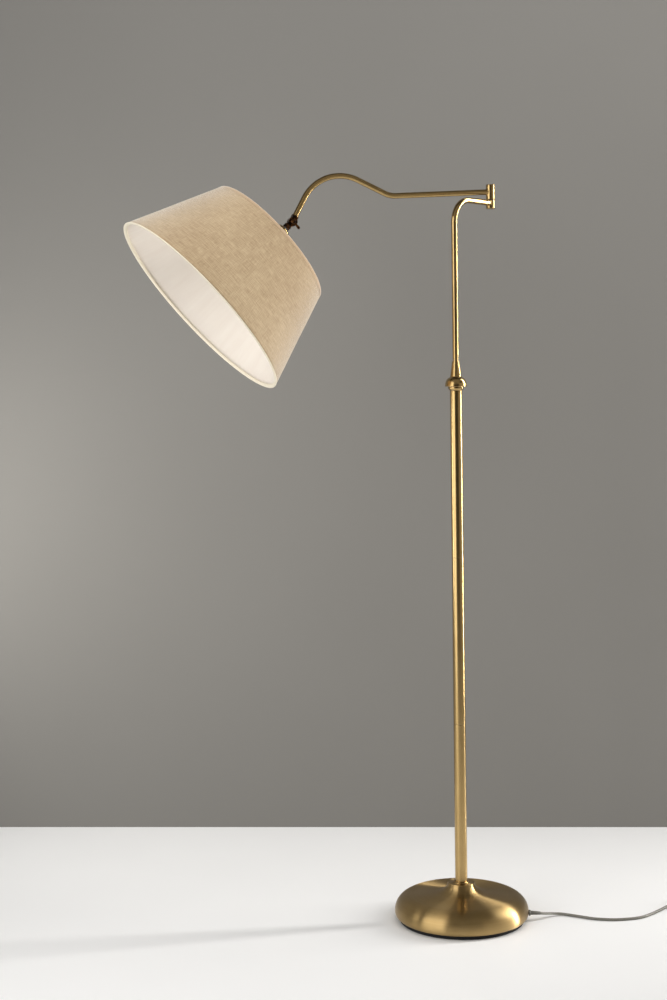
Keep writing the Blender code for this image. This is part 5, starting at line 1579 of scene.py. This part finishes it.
# White lacquered floor: half gloss, with the faintest unevenness a hand or two across.
lacquer, tree, shader = new_finish("white_lacquered_floor", "F0F0F0", {"Roughness": 0.42, "IOR": 1.3})
place = add_node(tree, "ShaderNodeTexCoord").outputs["Object"]
uneven = add_node(tree, "ShaderNodeTexNoise", {"Vector": place, "Scale": 3.0, "Detail": 1.0})
two_tones(tree, shader, uneven.outputs["Fac"], "EEEEEE", "F2F2F2")
one_sided(tree, shader)
FLOOR_REACH = 14    # far enough that its edge is never in view
floor_corners = [(x * FLOOR_REACH, y * FLOOR_REACH, 0) for x, y in ((-1, -1), (1, -1), (1, 1), (-1, 1))]
plane("floor", floor_corners, lacquer)

# Warm grey paper wall, matt.
paper, tree, shader = new_finish("warm_grey_paper", "7A7874", {"Roughness": 0.95})
place = add_node(tree, "ShaderNodeTexCoord").outputs["Object"]
mottle = add_node(tree, "ShaderNodeTexNoise", {"Vector": place, "Scale": 2.0, "Detail": 1.0})
two_tones(tree, shader, mottle.outputs["Fac"], "787672", "7C7A76")
one_sided(tree, shader)
WALL_YAW = math.radians(2.3)
wall_along = VIEW_RIGHT * math.cos(WALL_YAW) - VIEW_ALONG * math.sin(WALL_YAW)
WALL_BEHIND, WALL_HALF, WALL_FOOT, WALL_TOP = 0.70, 12, -0.01, 7
wall_at = VIEW_ALONG * WALL_BEHIND
wall_corners = [
    wall_at + wall_along * WALL_HALF * side + UP * height
    for side, height in ((-1, WALL_FOOT), (1, WALL_FOOT), (1, WALL_TOP), (-1, WALL_TOP))
]
plane("wall", wall_corners, paper)

world = bpy.data.worlds.new("room")
bpy.context.scene.world = world
world.use_nodes = True
tree = world.node_tree
seen = add_node(tree, "ShaderNodeLightPath").outputs["Is Camera Ray"]
tone = add_node(
    tree, "ShaderNodeMix", {"Factor": seen, "A": srgb("3C3A37"), "B": srgb("8B877F")}, data_type="RGBA"
)
tree.links.new(tone.outputs["Result"], tree.nodes["Background"].inputs["Color"])

soft_light("left_softbox", 1.9, 2.5, 38.0, "FFFEFC", in_view(-1.95, -1.4, 1.3), in_view(0, 0.1, 0.85))
glow = soft_light("wall_glow", 0.6, 0.6, 4.2, "FFFDF8", in_view(-1.65, 0.1, 0.75), in_view(-0.75, 0.7, 0.85))
glow.data.spread = math.radians(110)
strip = soft_light("right_strip", 0.2, 2.9, 25.0, "FFFDFA", in_view(1.7, 0.3, 1.5), in_view(0, 0, 1.1))
strip.data.spread = math.radians(100)
soft_light("right_fill", 2.8, 2.2, 8.0, "FFF4E4", in_view(2.5, -1.6, 1.2), in_view(0, 0, 0.7))
overhead = soft_light("overhead", 3.2, 2.6, 47.0, "FFFFFF", in_view(0.0, -0.9, 2.9), in_view(-0.2, -0.4, 0))
overhead.visible_glossy = False
ceiling = soft_light("ceiling_bounce", 4.0, 3.0, 9.0, "FFF8EC", in_view(0, -2.0, 3.0), in_view(0, -0.3, 0.5))
ceiling.visible_diffuse = False

eye_data = bpy.data.cameras.new("camera")
eye_data.lens, eye_data.sensor_width, eye_data.shift_y = 57.6, 36.0, -0.108
camera = bpy.data.objects.new("camera", eye_data)
bpy.context.scene.collection.objects.link(camera)
up = UP * math.cos(VIEW_ROLL) + VIEW_RIGHT * math.sin(VIEW_ROLL)
right = VIEW_ALONG.cross(up)
camera.matrix_world = Matrix.Translation(VIEW_AT) @ Matrix((right, up, -VIEW_ALONG)).transposed().to_4x4()
bpy.context.scene.camera = camera
bpy.context.scene.view_settings.view_transform = "Standard"
